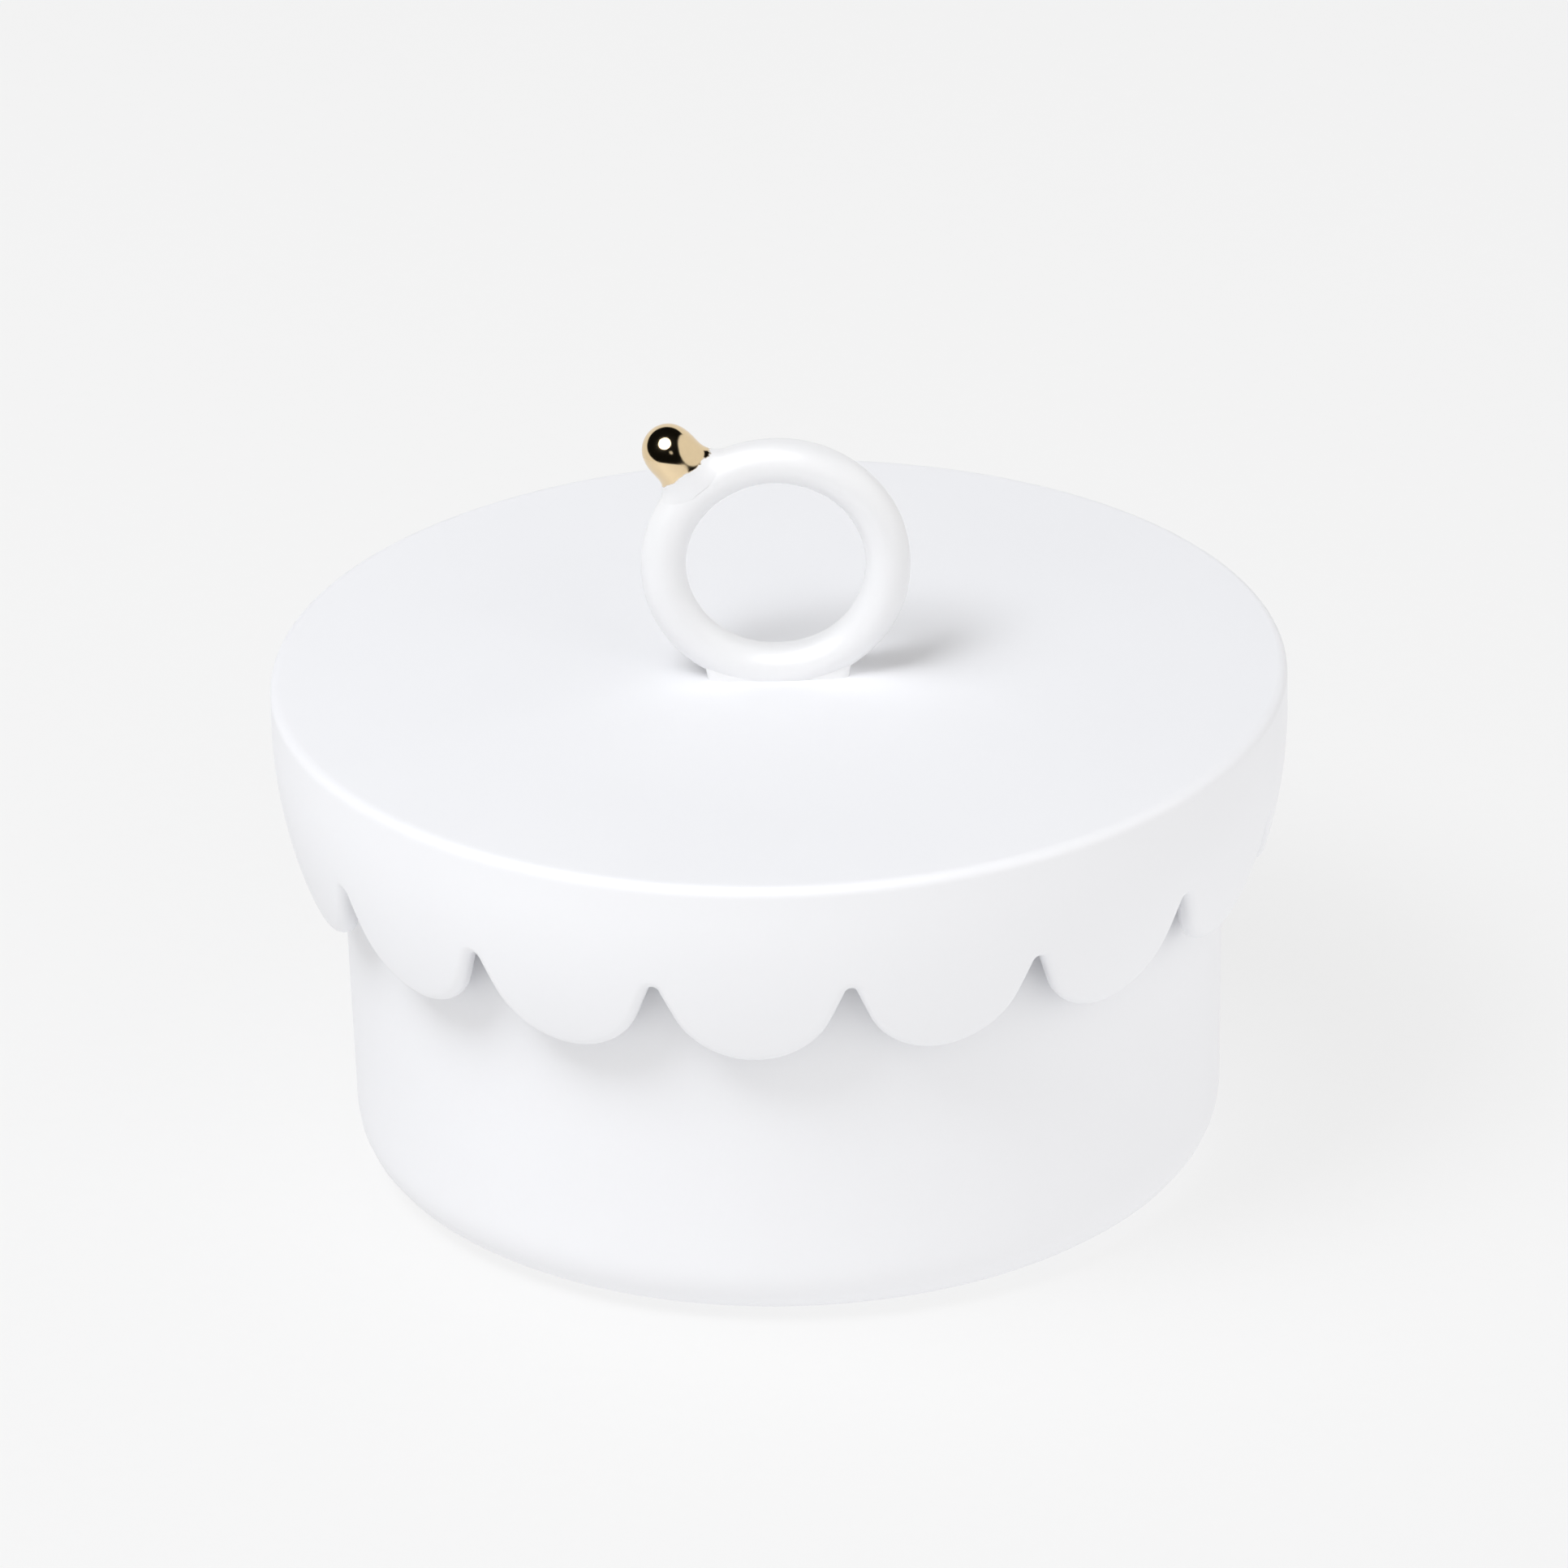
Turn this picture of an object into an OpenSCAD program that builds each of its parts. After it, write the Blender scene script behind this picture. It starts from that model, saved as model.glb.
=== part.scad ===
// Porcelain cream jar with a scalloped lift-off lid, a ring handle and a gilded bead.
// Millimetres, +Z up, the origin at the centre of the underside, the handle's ring facing -Y.

/* [Jar] */
// Outside diameter of the jar just above its rounded base
jar_d = 77.2; // [60:0.2:84]
// How far the jar's side widens from base to rim, on the diameter
jar_draft = 1.6; // [0:0.1:2]
// Height of the jar from its underside to its rim
jar_h = 38.8; // [34:0.2:70]
// Thickness of the jar's side wall
jar_wall = 3.8; // [3.4:0.1:6]
// Thickness of the jar's floor
jar_floor = 5; // [4:0.1:8]
// Radius of the rounded base edge
base_round = 5; // [2:0.1:5.5]
// Radius of the rounded corner inside, between wall and floor
inside_round = 4; // [1:0.1:6]
// Radius of the rounded outer edge of the rim
rim_round = 0.9; // [0.4:0.1:1]
// Width of the foot ring that the jar stands on
foot_ring_w = 9; // [8:0.2:12]
// Depth of the hollow inside the foot ring
foot_hollow = 1.2; // [0.4:0.1:2]

/* [Foot pads] */
// Number of silicone pads
pad_count = 3; // [3:1:6]
// Diameter of a pad
pad_d = 6; // [4:0.1:6.8]
// Thickness of a pad
pad_t = 1.2; // [0.8:0.1:2]
// How far a pad stands out below the jar
pad_proud = 0.4; // [0.2:0.05:0.7]

/* [Seat ring] */
// Width of the silicone ring that the cup's flange rests on
seat_w = 1.4; // [1:0.1:1.6]
// Height of the seat ring
seat_h = 1.5; // [1:0.1:2]
// How far the seat ring stands out of the jar's rim
seat_proud = 0.5; // [0.3:0.05:0.7]

/* [Inner cup] */
// Thickness of the cup's wall
cup_wall = 1.4; // [1:0.1:2]
// Thickness of the cup's flange
flange_t = 1.6; // [1:0.1:2.4]
// How far the flange stays inside the jar's outside
flange_inset = 0.5; // [0.2:0.1:0.8]
// Depth of the wide mouth, from the flange's top to the ledge
mouth_depth = 6; // [5:0.1:9]
// Width of the ledge that the sealing disc lies on
ledge_w = 1.8; // [1.2:0.1:3]
// How far the cup narrows from the ledge to its floor, on the radius
cup_draft = 1; // [0.2:0.1:2]
// Radius of the rounded corner inside the cup
cup_round = 4.5; // [2:0.1:6]
// Gap below the cup's floor
cup_lift_gap = 0.9; // [0.3:0.1:3]

/* [Sealing disc] */
// Thickness of the disc
disc_t = 0.9; // [0.6:0.1:1.2]
// Depth of the ring under the disc that centres it in the cup
spigot_h = 1.6; // [0.8:0.1:3]
// Thickness of that ring
spigot_t = 0.9; // [0.6:0.1:1.4]
// Width of the lift tab
tab_w = 12; // [6:0.5:16]
// Thickness of the lift tab
tab_t = 1.4; // [1:0.1:2.5]

/* [Lid] */
// How far the lid's edge stands out beyond the jar's rim
lid_overhang = 5.6; // [5:0.1:12]
// Thickness of the lid's top plate
plate_t = 3.8; // [3.4:0.1:5]
// Radius of the lid's top edge
lid_edge_r = 0.95; // [0.4:0.05:1.6]
// Height of the skirt from the lid's top to the ends of the scallops
skirt_h = 18; // [15:0.1:22]
// Thickness of the skirt
skirt_t = 2; // [1.6:0.1:2.4]
// Radius of the arc on which the skirt curves in below the plate
skirt_curve_r = 40; // [36:1:90]
// Rounding inside, between plate and skirt
lid_inside_r = 1.5; // [0.5:0.1:2.5]
// Number of scallops round the skirt
scallops = 16; // [12:1:20]
// Depth of a notch between two scallops
notch_depth = 7.6; // [5:0.1:8.4]
// Radius of a notch's tip
notch_tip_r = 0.5; // [0.35:0.05:0.6]
// Half the gap between two scallops' arcs
notch_flare = 1.1; // [0.7:0.05:1.3]
// Turn of the notches about the lid's axis, in degrees
scallop_turn = -15.2; // [-22.5:0.1:22.5]

/* [Lid insert, gasket and liner] */
// Thickness of the insert's disc
insert_t = 1.4; // [1:0.1:3]
// Depth of the recess in the plate that takes the insert
insert_recess = 0.5; // [0.3:0.1:0.8]
// Thickness of the plug's wall
plug_t = 2.4; // [2:0.1:3.2]
// Depth of the gasket's groove
groove_depth = 1.2; // [0.8:0.1:1.2]
// Height of the gasket's groove
groove_h = 2.2; // [1.6:0.1:2.4]
// Thickness of the foam liner
liner_t = 1.5; // [0.8:0.1:1.6]

/* [Ring handle] */
// Diameter of the circle along the middle of the ring
ring_d = 19.8; // [16:0.2:26]
// Thickness of the ring
ring_t = 4; // [3:0.1:5]
// How far the ring's lowest point lies below the lid's top
ring_sink = 1.3; // [0.8:0.1:1.5]
// How far the handle stands in front of the lid's centre
ring_forward = 1.4; // [0:0.1:3]
// Length of the foot along the ring
foot_l = 12.6; // [9:0.1:14]
// How far the foot stands out on each side of the ring
foot_side = 0.4; // [0.3:0.1:1]
// Height of the foot above the lid's top
foot_h = 1; // [0.6:0.1:1.6]
// Thickness of the foot below the ring
foot_floor = 0.3; // [0.2:0.1:0.6]
// Radius of the hollow in each end of the foot
foot_hollow_r = 0.9; // [0.6:0.1:1.4]

/* [Bead] */
// Diameter of the bead
bead_d = 4.7; // [4:0.1:5.2]
// Distance from the ring's outside to the bead's centre
bead_out = 3; // [2.6:0.1:4]
// Angle of the bead round the ring, from +X, in degrees
bead_angle = 130.3; // [100:0.1:160]
// How much narrower the neck is than the bead, on the radius
bead_waist = 0.05; // [0.05:0.05:0.8]
// How far the neck flares where it meets the ring, on the radius
bead_flare = 0.3; // [0.1:0.05:0.6]

/* [Fits] */
// Gap round the cup's mouth inside the jar
cup_gap = 0.4; // [0.3:0.05:0.6]
// Gap round the sealing disc
disc_gap = 0.4; // [0.3:0.05:0.6]
// Gap between the plug and the cup's mouth
plug_gap = 0.6; // [0.5:0.05:0.8]
// Gap between the plug's end and the sealing disc
plug_end_gap = 0.6; // [0.3:0.05:1]
// Gap between the lift tab and the liner
tab_gap = 1; // [0.3:0.05:1.2]
// Gap on each round side of the lid gasket
gasket_gap = 0.3; // [0.2:0.05:0.3]
// Gap above and below the lid gasket in its groove
gasket_end_gap = 0.15; // [0.1:0.05:0.25]
// Gap round glued and let-in pieces
glue_gap = 0.15; // [0.05:0.05:0.3]
// Thickness of the slip that joins the ring to its foot and to the bead
slip_gap = 0.05; // [0.02:0.01:0.15]

/* [Hidden] */
$fn = 144;
eps = 0.01;

// heights
jar_z = pad_proud;
rim_z = jar_z + jar_h;
jar_floor_z = jar_z + jar_floor;
cup_base_z = jar_floor_z + cup_lift_gap;
cup_side_z = cup_base_z + cup_wall + cup_round;
flange_z = rim_z + seat_proud;
cup_top_z = flange_z + flange_t;
ledge_z = cup_top_z - mouth_depth;
disc_top_z = ledge_z + disc_t;
plug_z = disc_top_z + plug_end_gap;
groove_z = (plug_z + cup_top_z - groove_h) / 2;
liner_z = cup_top_z - liner_t;
tab_h = liner_z - tab_gap - disc_top_z;
plate_z = cup_top_z + insert_t - insert_recess;
lid_z = plate_z + plate_t;
skirt_z = lid_z - skirt_h;
ring_z = lid_z - ring_sink + (ring_d + ring_t) / 2;
foot_z = lid_z - ring_sink - foot_floor;

// radii
jar_r = jar_d / 2;
rim_r = jar_r + jar_draft / 2;
jar_in_r = rim_r - jar_wall;
foot_in_r = jar_r - base_round - foot_ring_w;
pad_ring_r = jar_r - base_round - foot_ring_w / 2;
cup_out_r = jar_in_r - cup_gap;
mouth_r = cup_out_r - cup_wall;
flange_r = rim_r - flange_inset;
cup_r = mouth_r - ledge_w;
cup_floor_r = cup_r - cup_draft;
seat_mid_r = (jar_in_r + rim_r) / 2;
lid_r = rim_r + lid_overhang;
skirt_in_curve_r = skirt_curve_r - skirt_t;
skirt_curve_x = lid_r - skirt_curve_r;
skirt_end_r = skirt_curve_x + sqrt(pow(skirt_curve_r, 2) - pow(plate_z - skirt_z, 2));
plug_r = mouth_r - plug_gap;
plug_in_r = plug_r - plug_t;
groove_r = plug_r - groove_depth;
insert_r = flange_r - glue_gap;
gasket_in_r = groove_r + gasket_gap;
gasket_out_r = mouth_r - gasket_gap;
ring_r = ring_d / 2;
tube_r = ring_t / 2;
foot_w = ring_t + 2 * foot_side;
bead_r = bead_d / 2;
bead_at = ring_r + tube_r + bead_out;
neck_r = bead_r - bead_waist;

// one notch, drawn in the plane that faces it: the arcs of the two scallops beside it are
// centred half_pitch away, and a straight flank runs from each arc to the round tip; the holds
// set the flank's ends a little inside both arcs, so that the outlines cross and don't just touch,
// and for the same reason each scallop's round end is cut off flat by lobe_flat
lobe_flat = 0.05;
tip_hold = 0.97;
arc_hold = 0.985;
half_pitch = skirt_end_r * sin(180 / scallops);
scallop_r = half_pitch - notch_flare;
scallop_z = skirt_z + scallop_r - lobe_flat;
tip_z = skirt_z + notch_depth - notch_tip_r;
arc_far = norm([half_pitch, scallop_z - tip_z]);
arc_up = atan2(scallop_z - tip_z, half_pitch);
flank_lean = arc_up + acos((scallop_r + notch_tip_r) / arc_far);
flank_side = [cos(flank_lean), sin(flank_lean)];
flank_top = [0, tip_z] + tip_hold * notch_tip_r * flank_side;
flank_foot = [half_pitch, scallop_z] - arc_hold * scallop_r * flank_side;

// inside radius of the cup's drafted body at height z
function cup_in_r(z) = cup_r - cup_draft * (ledge_z - z) / (ledge_z - cup_side_z);

// Shapes shared by several sub-parts

// a ring of square section from radius a to b and height z0 to z1
module band(a, b, z0, z1) {
    difference() {
        translate([0, 0, z0]) cylinder(r = b, h = z1 - z0);
        if (a > 0) translate([0, 0, z0 - 1]) cylinder(r = a, h = z1 - z0 + 2);
    }
}

// half section of a disc of radius r whose lower edge is rounded: the slice of height c above z
module round_bottom(r, z, c) {
    translate([0, z]) square([r - c, c]);
    intersection() {
        translate([r - c, z + c]) circle(r = c);
        translate([0, z]) square([r, c]);
    }
}

// the same with the upper edge rounded: the slice of height c below z
module round_top(r, z, c) {
    translate([0, z - c]) square([r - c, c]);
    intersection() {
        translate([r - c, z - c]) circle(r = c);
        translate([0, z - c]) square([r, c]);
    }
}

// the ring of the handle, upright, facing along Y, with its tube grown by grow
module ring(grow = 0) {
    translate([0, -ring_forward, ring_z]) rotate([90, 0, 0])
        rotate_extrude() translate([ring_r, 0]) circle(r = tube_r + grow);
}

// half of the drop's outline, its axis along +Y: a round head on a neck that flares to the ring
module drop_section() {
    neck_z = ring_r + tube_r / 2;
    flare_z = ring_r + tube_r;
    translate([0, bead_at]) intersection() {
        circle(r = bead_r);
        translate([0, -bead_r / 4]) square([bead_r, 2 * bead_r]);
    }
    translate([0, neck_z]) square([neck_r, bead_at - neck_z]);
    polygon([[0, neck_z], [neck_r + bead_flare, neck_z], [neck_r + bead_flare, flare_z],
             [neck_r - eps, (flare_z + bead_at) / 2], [0, (flare_z + bead_at) / 2]]);
}

// Sub-parts

// jar: outside with a rounded base and a drafted side, hollow for the cup, foot ring
module jar_section() {
    difference() {
        union() {
            round_bottom(jar_r, jar_z, base_round);
            polygon([[0, jar_z + base_round], [jar_r, jar_z + base_round],
                     [rim_r, rim_z - rim_round], [0, rim_z - rim_round]]);
            round_top(rim_r, rim_z, rim_round);
        }
        round_bottom(jar_in_r, jar_floor_z, inside_round);
        translate([0, jar_floor_z + inside_round]) square([jar_in_r, jar_h]);
        translate([0, jar_z - 1]) square([foot_in_r, foot_hollow + 1]);
        translate([seat_mid_r - seat_w / 2 - glue_gap, flange_z - seat_h])
            square([seat_w + 2 * glue_gap, seat_h + 1]);
    }
}

module jar_body() {
    color([0.95, 0.95, 0.96]) difference() {
        rotate_extrude() jar_section();
        for (i = [0 : pad_count - 1]) rotate(90 + i * 360 / pad_count)
            translate([pad_ring_r, 0, jar_z - 1])
                cylinder(d = pad_d + 2 * glue_gap, h = pad_t - pad_proud + 1);
    }
}

module foot_pads() {
    color([0.82, 0.84, 0.85]) for (i = [0 : pad_count - 1]) rotate(90 + i * 360 / pad_count)
        translate([pad_ring_r, 0, 0]) cylinder(d = pad_d, h = pad_t);
}

module cup_seat_ring() {
    color([0.85, 0.86, 0.87])
        band(seat_mid_r - seat_w / 2, seat_mid_r + seat_w / 2, flange_z - seat_h, flange_z);
}

// cup: wide mouth under a flange, a ledge for the disc, and a drafted body below it
module cup_body(grow, floor_z, top_z) {
    translate([0, 0, cup_side_z])
        cylinder(r1 = cup_floor_r + grow, r2 = cup_in_r(top_z) + grow, h = top_z - cup_side_z);
    rotate_extrude() round_bottom(cup_floor_r + grow, floor_z, cup_side_z - floor_z);
}

module inner_cup() {
    shoulder_z = ledge_z - cup_wall;
    color([0.93, 0.93, 0.92]) difference() {
        union() {
            rotate_extrude() {
                round_top(flange_r, cup_top_z, flange_t / 2);
                round_bottom(flange_r, flange_z, flange_t / 2);
            }
            band(0, cup_out_r, shoulder_z, flange_z);
            cup_body(cup_wall, cup_base_z, shoulder_z);
        }
        band(0, mouth_r, ledge_z, cup_top_z + 1);
        cup_body(0, cup_base_z + cup_wall, ledge_z);
    }
}

// disc with a centring ring below and a lift tab with a round top above
module sealing_disc() {
    spigot_r = cup_in_r(ledge_z - spigot_h) - disc_gap;
    tab_curve_r = 0.7 * tab_w;
    color([0.97, 0.97, 0.96]) {
        band(0, mouth_r - disc_gap, ledge_z, disc_top_z);
        band(spigot_r - spigot_t, spigot_r, ledge_z - spigot_h, ledge_z + eps);
        translate([0, tab_t / 2, disc_top_z - eps]) rotate([90, 0, 0]) linear_extrude(tab_t)
            intersection() {
                translate([-tab_w / 2, 0]) square([tab_w, tab_h + eps]);
                translate([0, tab_h + eps - tab_curve_r]) circle(r = tab_curve_r);
            }
    }
}

// gasket: a band whose two outer edges are rounded towards the cup
module lid_gasket() {
    width = gasket_out_r - gasket_in_r;
    height = groove_h - 2 * gasket_end_gap;
    edge = 0.4 * width;
    color([0.80, 0.81, 0.82]) rotate_extrude() translate([gasket_in_r, groove_z + gasket_end_gap]) {
        square([width - edge, height]);
        translate([0, edge]) square([width, height - 2 * edge]);
        for (z = [edge, height - edge]) translate([width - edge, z]) circle(r = edge);
    }
}

// half section of the space inside the lid: a rounded corner under the plate, then the arc
module lid_hollow_section() {
    arc_top_z = plate_z - lid_inside_r;
    round_top(lid_r - skirt_t, plate_z, lid_inside_r);
    intersection() {
        translate([skirt_curve_x, arc_top_z]) circle(r = skirt_in_curve_r);
        translate([0, skirt_z - 1]) square([lid_r, arc_top_z - skirt_z + 1]);
    }
    translate([0, plate_z]) square([insert_r + glue_gap, insert_recess]);
}

// half section of the lid's shell before its notches are cut
module lid_section() {
    difference() {
        union() {
            round_top(lid_r, lid_z, lid_edge_r);
            translate([0, plate_z]) square([lid_r, plate_t - lid_edge_r]);
            intersection() {
                translate([skirt_curve_x, plate_z]) circle(r = skirt_curve_r);
                translate([0, skirt_z]) square([lid_r, plate_z - skirt_z]);
            }
        }
        lid_hollow_section();
    }
}

// a notch in its own plane, x across it and y up, open at the bottom
module notch_shape() {
    difference() {
        polygon([[-half_pitch, skirt_z - 1], [half_pitch, skirt_z - 1], [half_pitch, scallop_z], flank_foot,
                 flank_top, [-flank_top.x, flank_top.y], [-flank_foot.x, flank_foot.y],
                 [-half_pitch, scallop_z]]);
        for (s = [-1, 1]) translate([s * half_pitch, scallop_z]) circle(r = scallop_r);
    }
    translate([0, tip_z]) circle(r = notch_tip_r);
}

module lid_shell() {
    color([0.95, 0.95, 0.96]) difference() {
        rotate_extrude() lid_section();
        for (i = [0 : scallops - 1]) rotate(scallop_turn + i * 360 / scallops)
            translate([0, -skirt_end_r / 2, 0]) rotate([90, 0, 0]) linear_extrude(lid_r) notch_shape();
        translate([0, -ring_forward, lid_z])
            cube([foot_l + 2 * glue_gap, foot_w + 2 * glue_gap, 2 * (lid_z - foot_z)], center = true);
    }
}

module lid_insert() {
    color([0.93, 0.93, 0.92]) {
        band(0, insert_r, cup_top_z, cup_top_z + insert_t);
        difference() {
            band(plug_in_r, plug_r, plug_z, cup_top_z + eps);
            band(groove_r, plug_r + 1, groove_z, groove_z + groove_h);
        }
    }
}

module lid_liner() {
    color([0.98, 0.98, 0.97]) band(0, plug_in_r - glue_gap, liner_z, cup_top_z);
}

module ring_handle() {
    color([0.96, 0.96, 0.97]) ring();
}

// foot: a block let into the lid, saddled under the ring, with a hollow in each end
module handle_foot() {
    hollow_x = foot_l / 2 + 0.6 * foot_hollow_r;
    color([0.96, 0.96, 0.97]) difference() {
        translate([-foot_l / 2, -ring_forward - foot_w / 2, foot_z])
            cube([foot_l, foot_w, lid_z + foot_h - foot_z]);
        ring(slip_gap);
        for (s = [-1, 1]) translate([s * hollow_x, -ring_forward, lid_z + foot_h])
            rotate([90, 0, 0]) cylinder(r = foot_hollow_r, h = foot_w + 2, center = true);
    }
}

module gilded_bead() {
    color([0.90, 0.78, 0.55]) difference() {
        translate([0, -ring_forward, ring_z]) rotate([0, 90 - bead_angle, 0])
            rotate_extrude() drop_section();
        ring(slip_gap);
    }
}

jar_body();
foot_pads();
cup_seat_ring();
inner_cup();
sealing_disc();
lid_gasket();
lid_shell();
lid_insert();
lid_liner();
ring_handle();
handle_foot();
gilded_bead();
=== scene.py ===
"""Porcelain cream jar: its finished surfaces and its studio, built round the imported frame.

Each piece of the jar has an operator of its own, and the studio has one more. Sizes are in metres,
+Z is up and the ring handle faces -Y. Places come from the frame's boxes; the sizes that a box
doesn't give, such as a wall, are properties.
"""

import math

import bpy
import numpy as np
from bpy.props import FloatProperty, FloatVectorProperty, IntProperty, PointerProperty
from mathutils import Matrix, Vector


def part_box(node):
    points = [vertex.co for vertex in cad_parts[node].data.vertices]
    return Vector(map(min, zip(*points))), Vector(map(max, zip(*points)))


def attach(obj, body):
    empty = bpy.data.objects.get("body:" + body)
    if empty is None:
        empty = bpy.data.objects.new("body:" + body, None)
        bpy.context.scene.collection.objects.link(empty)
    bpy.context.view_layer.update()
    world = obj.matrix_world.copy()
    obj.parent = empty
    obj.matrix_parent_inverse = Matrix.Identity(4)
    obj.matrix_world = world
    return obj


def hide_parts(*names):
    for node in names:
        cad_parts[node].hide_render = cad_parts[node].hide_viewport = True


bl_info = {
    "name": "Porcelain Cream Jar",
    "version": (1, 0, 0),
    "blender": (4, 5, 0),
    "location": "View3D > Sidebar > Cream Jar",
    "description": "Builds a scalloped porcelain cream jar with its inner cup, disc, lid and ring handle",
    "category": "Add Mesh",
}

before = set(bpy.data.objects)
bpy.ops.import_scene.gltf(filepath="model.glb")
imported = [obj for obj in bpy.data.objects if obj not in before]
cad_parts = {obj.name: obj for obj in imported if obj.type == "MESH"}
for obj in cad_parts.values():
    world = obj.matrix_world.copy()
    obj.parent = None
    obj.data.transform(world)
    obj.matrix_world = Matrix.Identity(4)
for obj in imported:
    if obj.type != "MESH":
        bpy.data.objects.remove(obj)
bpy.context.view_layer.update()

MM = 0.001
HAIRLINE = 0.04 * MM  # pieces that rest on each other are drawn this far apart
CORNER_STEPS = 7
STRAIGHT_SHARES = np.array([0.03, 0.5, 0.97])

# How finely the pieces are divided
JAR_COLUMNS = 288
PLASTIC_COLUMNS = 224
PAD_COLUMNS = 48
TAB_ROWS, TAB_COLUMNS, TAB_END = 33, 48, 0.999
TIP_STEPS, FLANK_STEPS, SCALLOP_STEPS = 9, 9, 25
FILLET_STEPS, LIP_STEPS = 10, 8
SKIRT_OUTSIDE_STEPS, SKIRT_INSIDE_STEPS = 18, 10
TOP_RINGS = np.array([[0.12], [0.35], [0.6], [0.8], [0.92], [0.99]])
GASKET_STEPS = 25
RING_ROWS, RING_COLUMNS = 320, 96
FOOT_ROWS, FOOT_COLUMNS = 24, 160
BEAD_ROWS, BEAD_COLUMNS = 140, 128
BEAD_STRIDES, BEAD_STRIDE = 72, 0.08 * MM
LAST_LEAN = math.radians(105)
FLOOR_RINGS, FLOOR_COLUMNS = np.array([0.1, 0.3, 1.0, 6.0]), 128

# The Mix node's colour sockets, which share their names with its number and vector sockets
MIX_A, MIX_B, MIX_RESULT = 6, 7, 2


def size(name, about, default):
    """A length that the user can change."""
    return FloatProperty(name=name, description=about, default=default, unit="LENGTH", precision=5)


def tint(name, about, default):
    """A colour that the user can change."""
    return FloatVectorProperty(name=name, description=about, default=default, subtype="COLOR",
                               size=3, min=0.0, max=1.0)


class JarSizes(bpy.types.PropertyGroup):
    """Sizes of the porcelain jar, its pads and its seat ring."""

    wall: size("Wall", "Thickness of the side wall", 3.8 * MM)
    floor: size("Floor", "Thickness of the floor", 5 * MM)
    taper: size("Taper", "How much wider the rim is than the base, on the radius", 0.8 * MM)
    base_round: size("Base round", "Radius of the rounded base edge", 5 * MM)
    inside_round: size("Inside round", "Radius of the corner between floor and wall", 4 * MM)
    rim_round: size("Rim round", "Radius of the rim's outer edge", 0.9 * MM)
    foot_width: size("Foot ring", "Width of the foot ring", 9 * MM)
    foot_hollow: size("Foot hollow", "Depth of the hollow inside the foot ring", 1.2 * MM)
    seat_width: size("Seat ring", "Width of the silicone seat ring", 1.4 * MM)
    seat_gap: size("Seat gap", "Gap beside the seat ring in its groove", 0.15 * MM)
    pad_radius: size("Pad", "Radius of a silicone pad", 3 * MM)
    pad_count: IntProperty(name="Pads", description="Number of silicone pads", default=3, min=3, max=6)
    unevenness: size("Unevenness", "How far the thrown wall wanders from true round", 0.05 * MM)


class CupSizes(bpy.types.PropertyGroup):
    """Sizes of the inner cup and of the sealing disc."""

    gap: size("Gap", "Gap between the cup's mouth and the jar", 0.4 * MM)
    wall: size("Wall", "Thickness of the wall", 1.4 * MM)
    flange: size("Flange", "Thickness of the flange", 1.6 * MM)
    mouth_depth: size("Mouth depth", "Depth of the mouth, down to the ledge", 6 * MM)
    ledge: size("Ledge", "Width of the ledge that carries the disc", 1.8 * MM)
    draft: size("Draft", "How much narrower the cup is at its floor, on the radius", 1 * MM)
    inside_round: size("Inside round", "Radius of the corner inside the cup", 4.5 * MM)
    disc: size("Disc", "Thickness of the sealing disc", 0.9 * MM)
    disc_gap: size("Disc gap", "Gap round the sealing disc", 0.4 * MM)
    spigot: size("Spigot", "Depth of the disc's centring ring", 1.6 * MM)
    spigot_wall: size("Spigot wall", "Thickness of the disc's centring ring", 0.9 * MM)
    tab_length: size("Tab length", "Length of the lift tab", 12 * MM)
    tab_thickness: size("Tab thickness", "Thickness of the lift tab", 1.4 * MM)


class LidSizes(bpy.types.PropertyGroup):
    """Sizes of the lid's shell, insert and gasket."""

    plate: size("Plate", "Thickness of the top plate", 3.8 * MM)
    edge: size("Edge", "Radius of the top edge", 0.95 * MM)
    skirt: size("Skirt", "Thickness of the skirt", 2 * MM)
    skirt_curve: size("Skirt curve", "Radius of the arc on which the skirt curves in", 40 * MM)
    lip: size("Lip", "Radius that rounds the scallops' edges", 0.85 * MM)
    inside_round: size("Inside round", "Radius of the corner under the plate", 1.5 * MM)
    recess: size("Recess", "Depth of the recess for the insert", 0.5 * MM)
    fit: size("Fit", "Gap round glued pieces", 0.15 * MM)
    notch: size("Notch", "Depth of a notch", 7.6 * MM)
    notch_tip: size("Notch tip", "Radius of a notch's tip", 0.5 * MM)
    notch_flare: size("Notch flare", "Half the gap between two scallops' arcs", 1.1 * MM)
    scallops: IntProperty(name="Scallops", description="Number of scallops", default=16, min=12, max=20)
    turn: FloatProperty(name="Turn", description="Turn of the notches about the lid's axis",
                        default=math.radians(-15.2), subtype="ANGLE")
    insert: size("Insert", "Thickness of the insert's disc", 1.4 * MM)
    plug_gap: size("Plug gap", "Gap between the plug and the cup's mouth", 0.6 * MM)
    plug_wall: size("Plug wall", "Thickness of the plug", 2.4 * MM)
    groove: size("Groove", "Depth of the gasket's groove", 1.2 * MM)
    groove_height: size("Groove height", "Height of the gasket's groove", 2.2 * MM)
    gasket_gap: size("Gasket gap", "Gap between the gasket and the bottom of its groove", 0.3 * MM)
    unevenness: size("Unevenness", "How far the scallops wander from true", 0.07 * MM)


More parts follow.
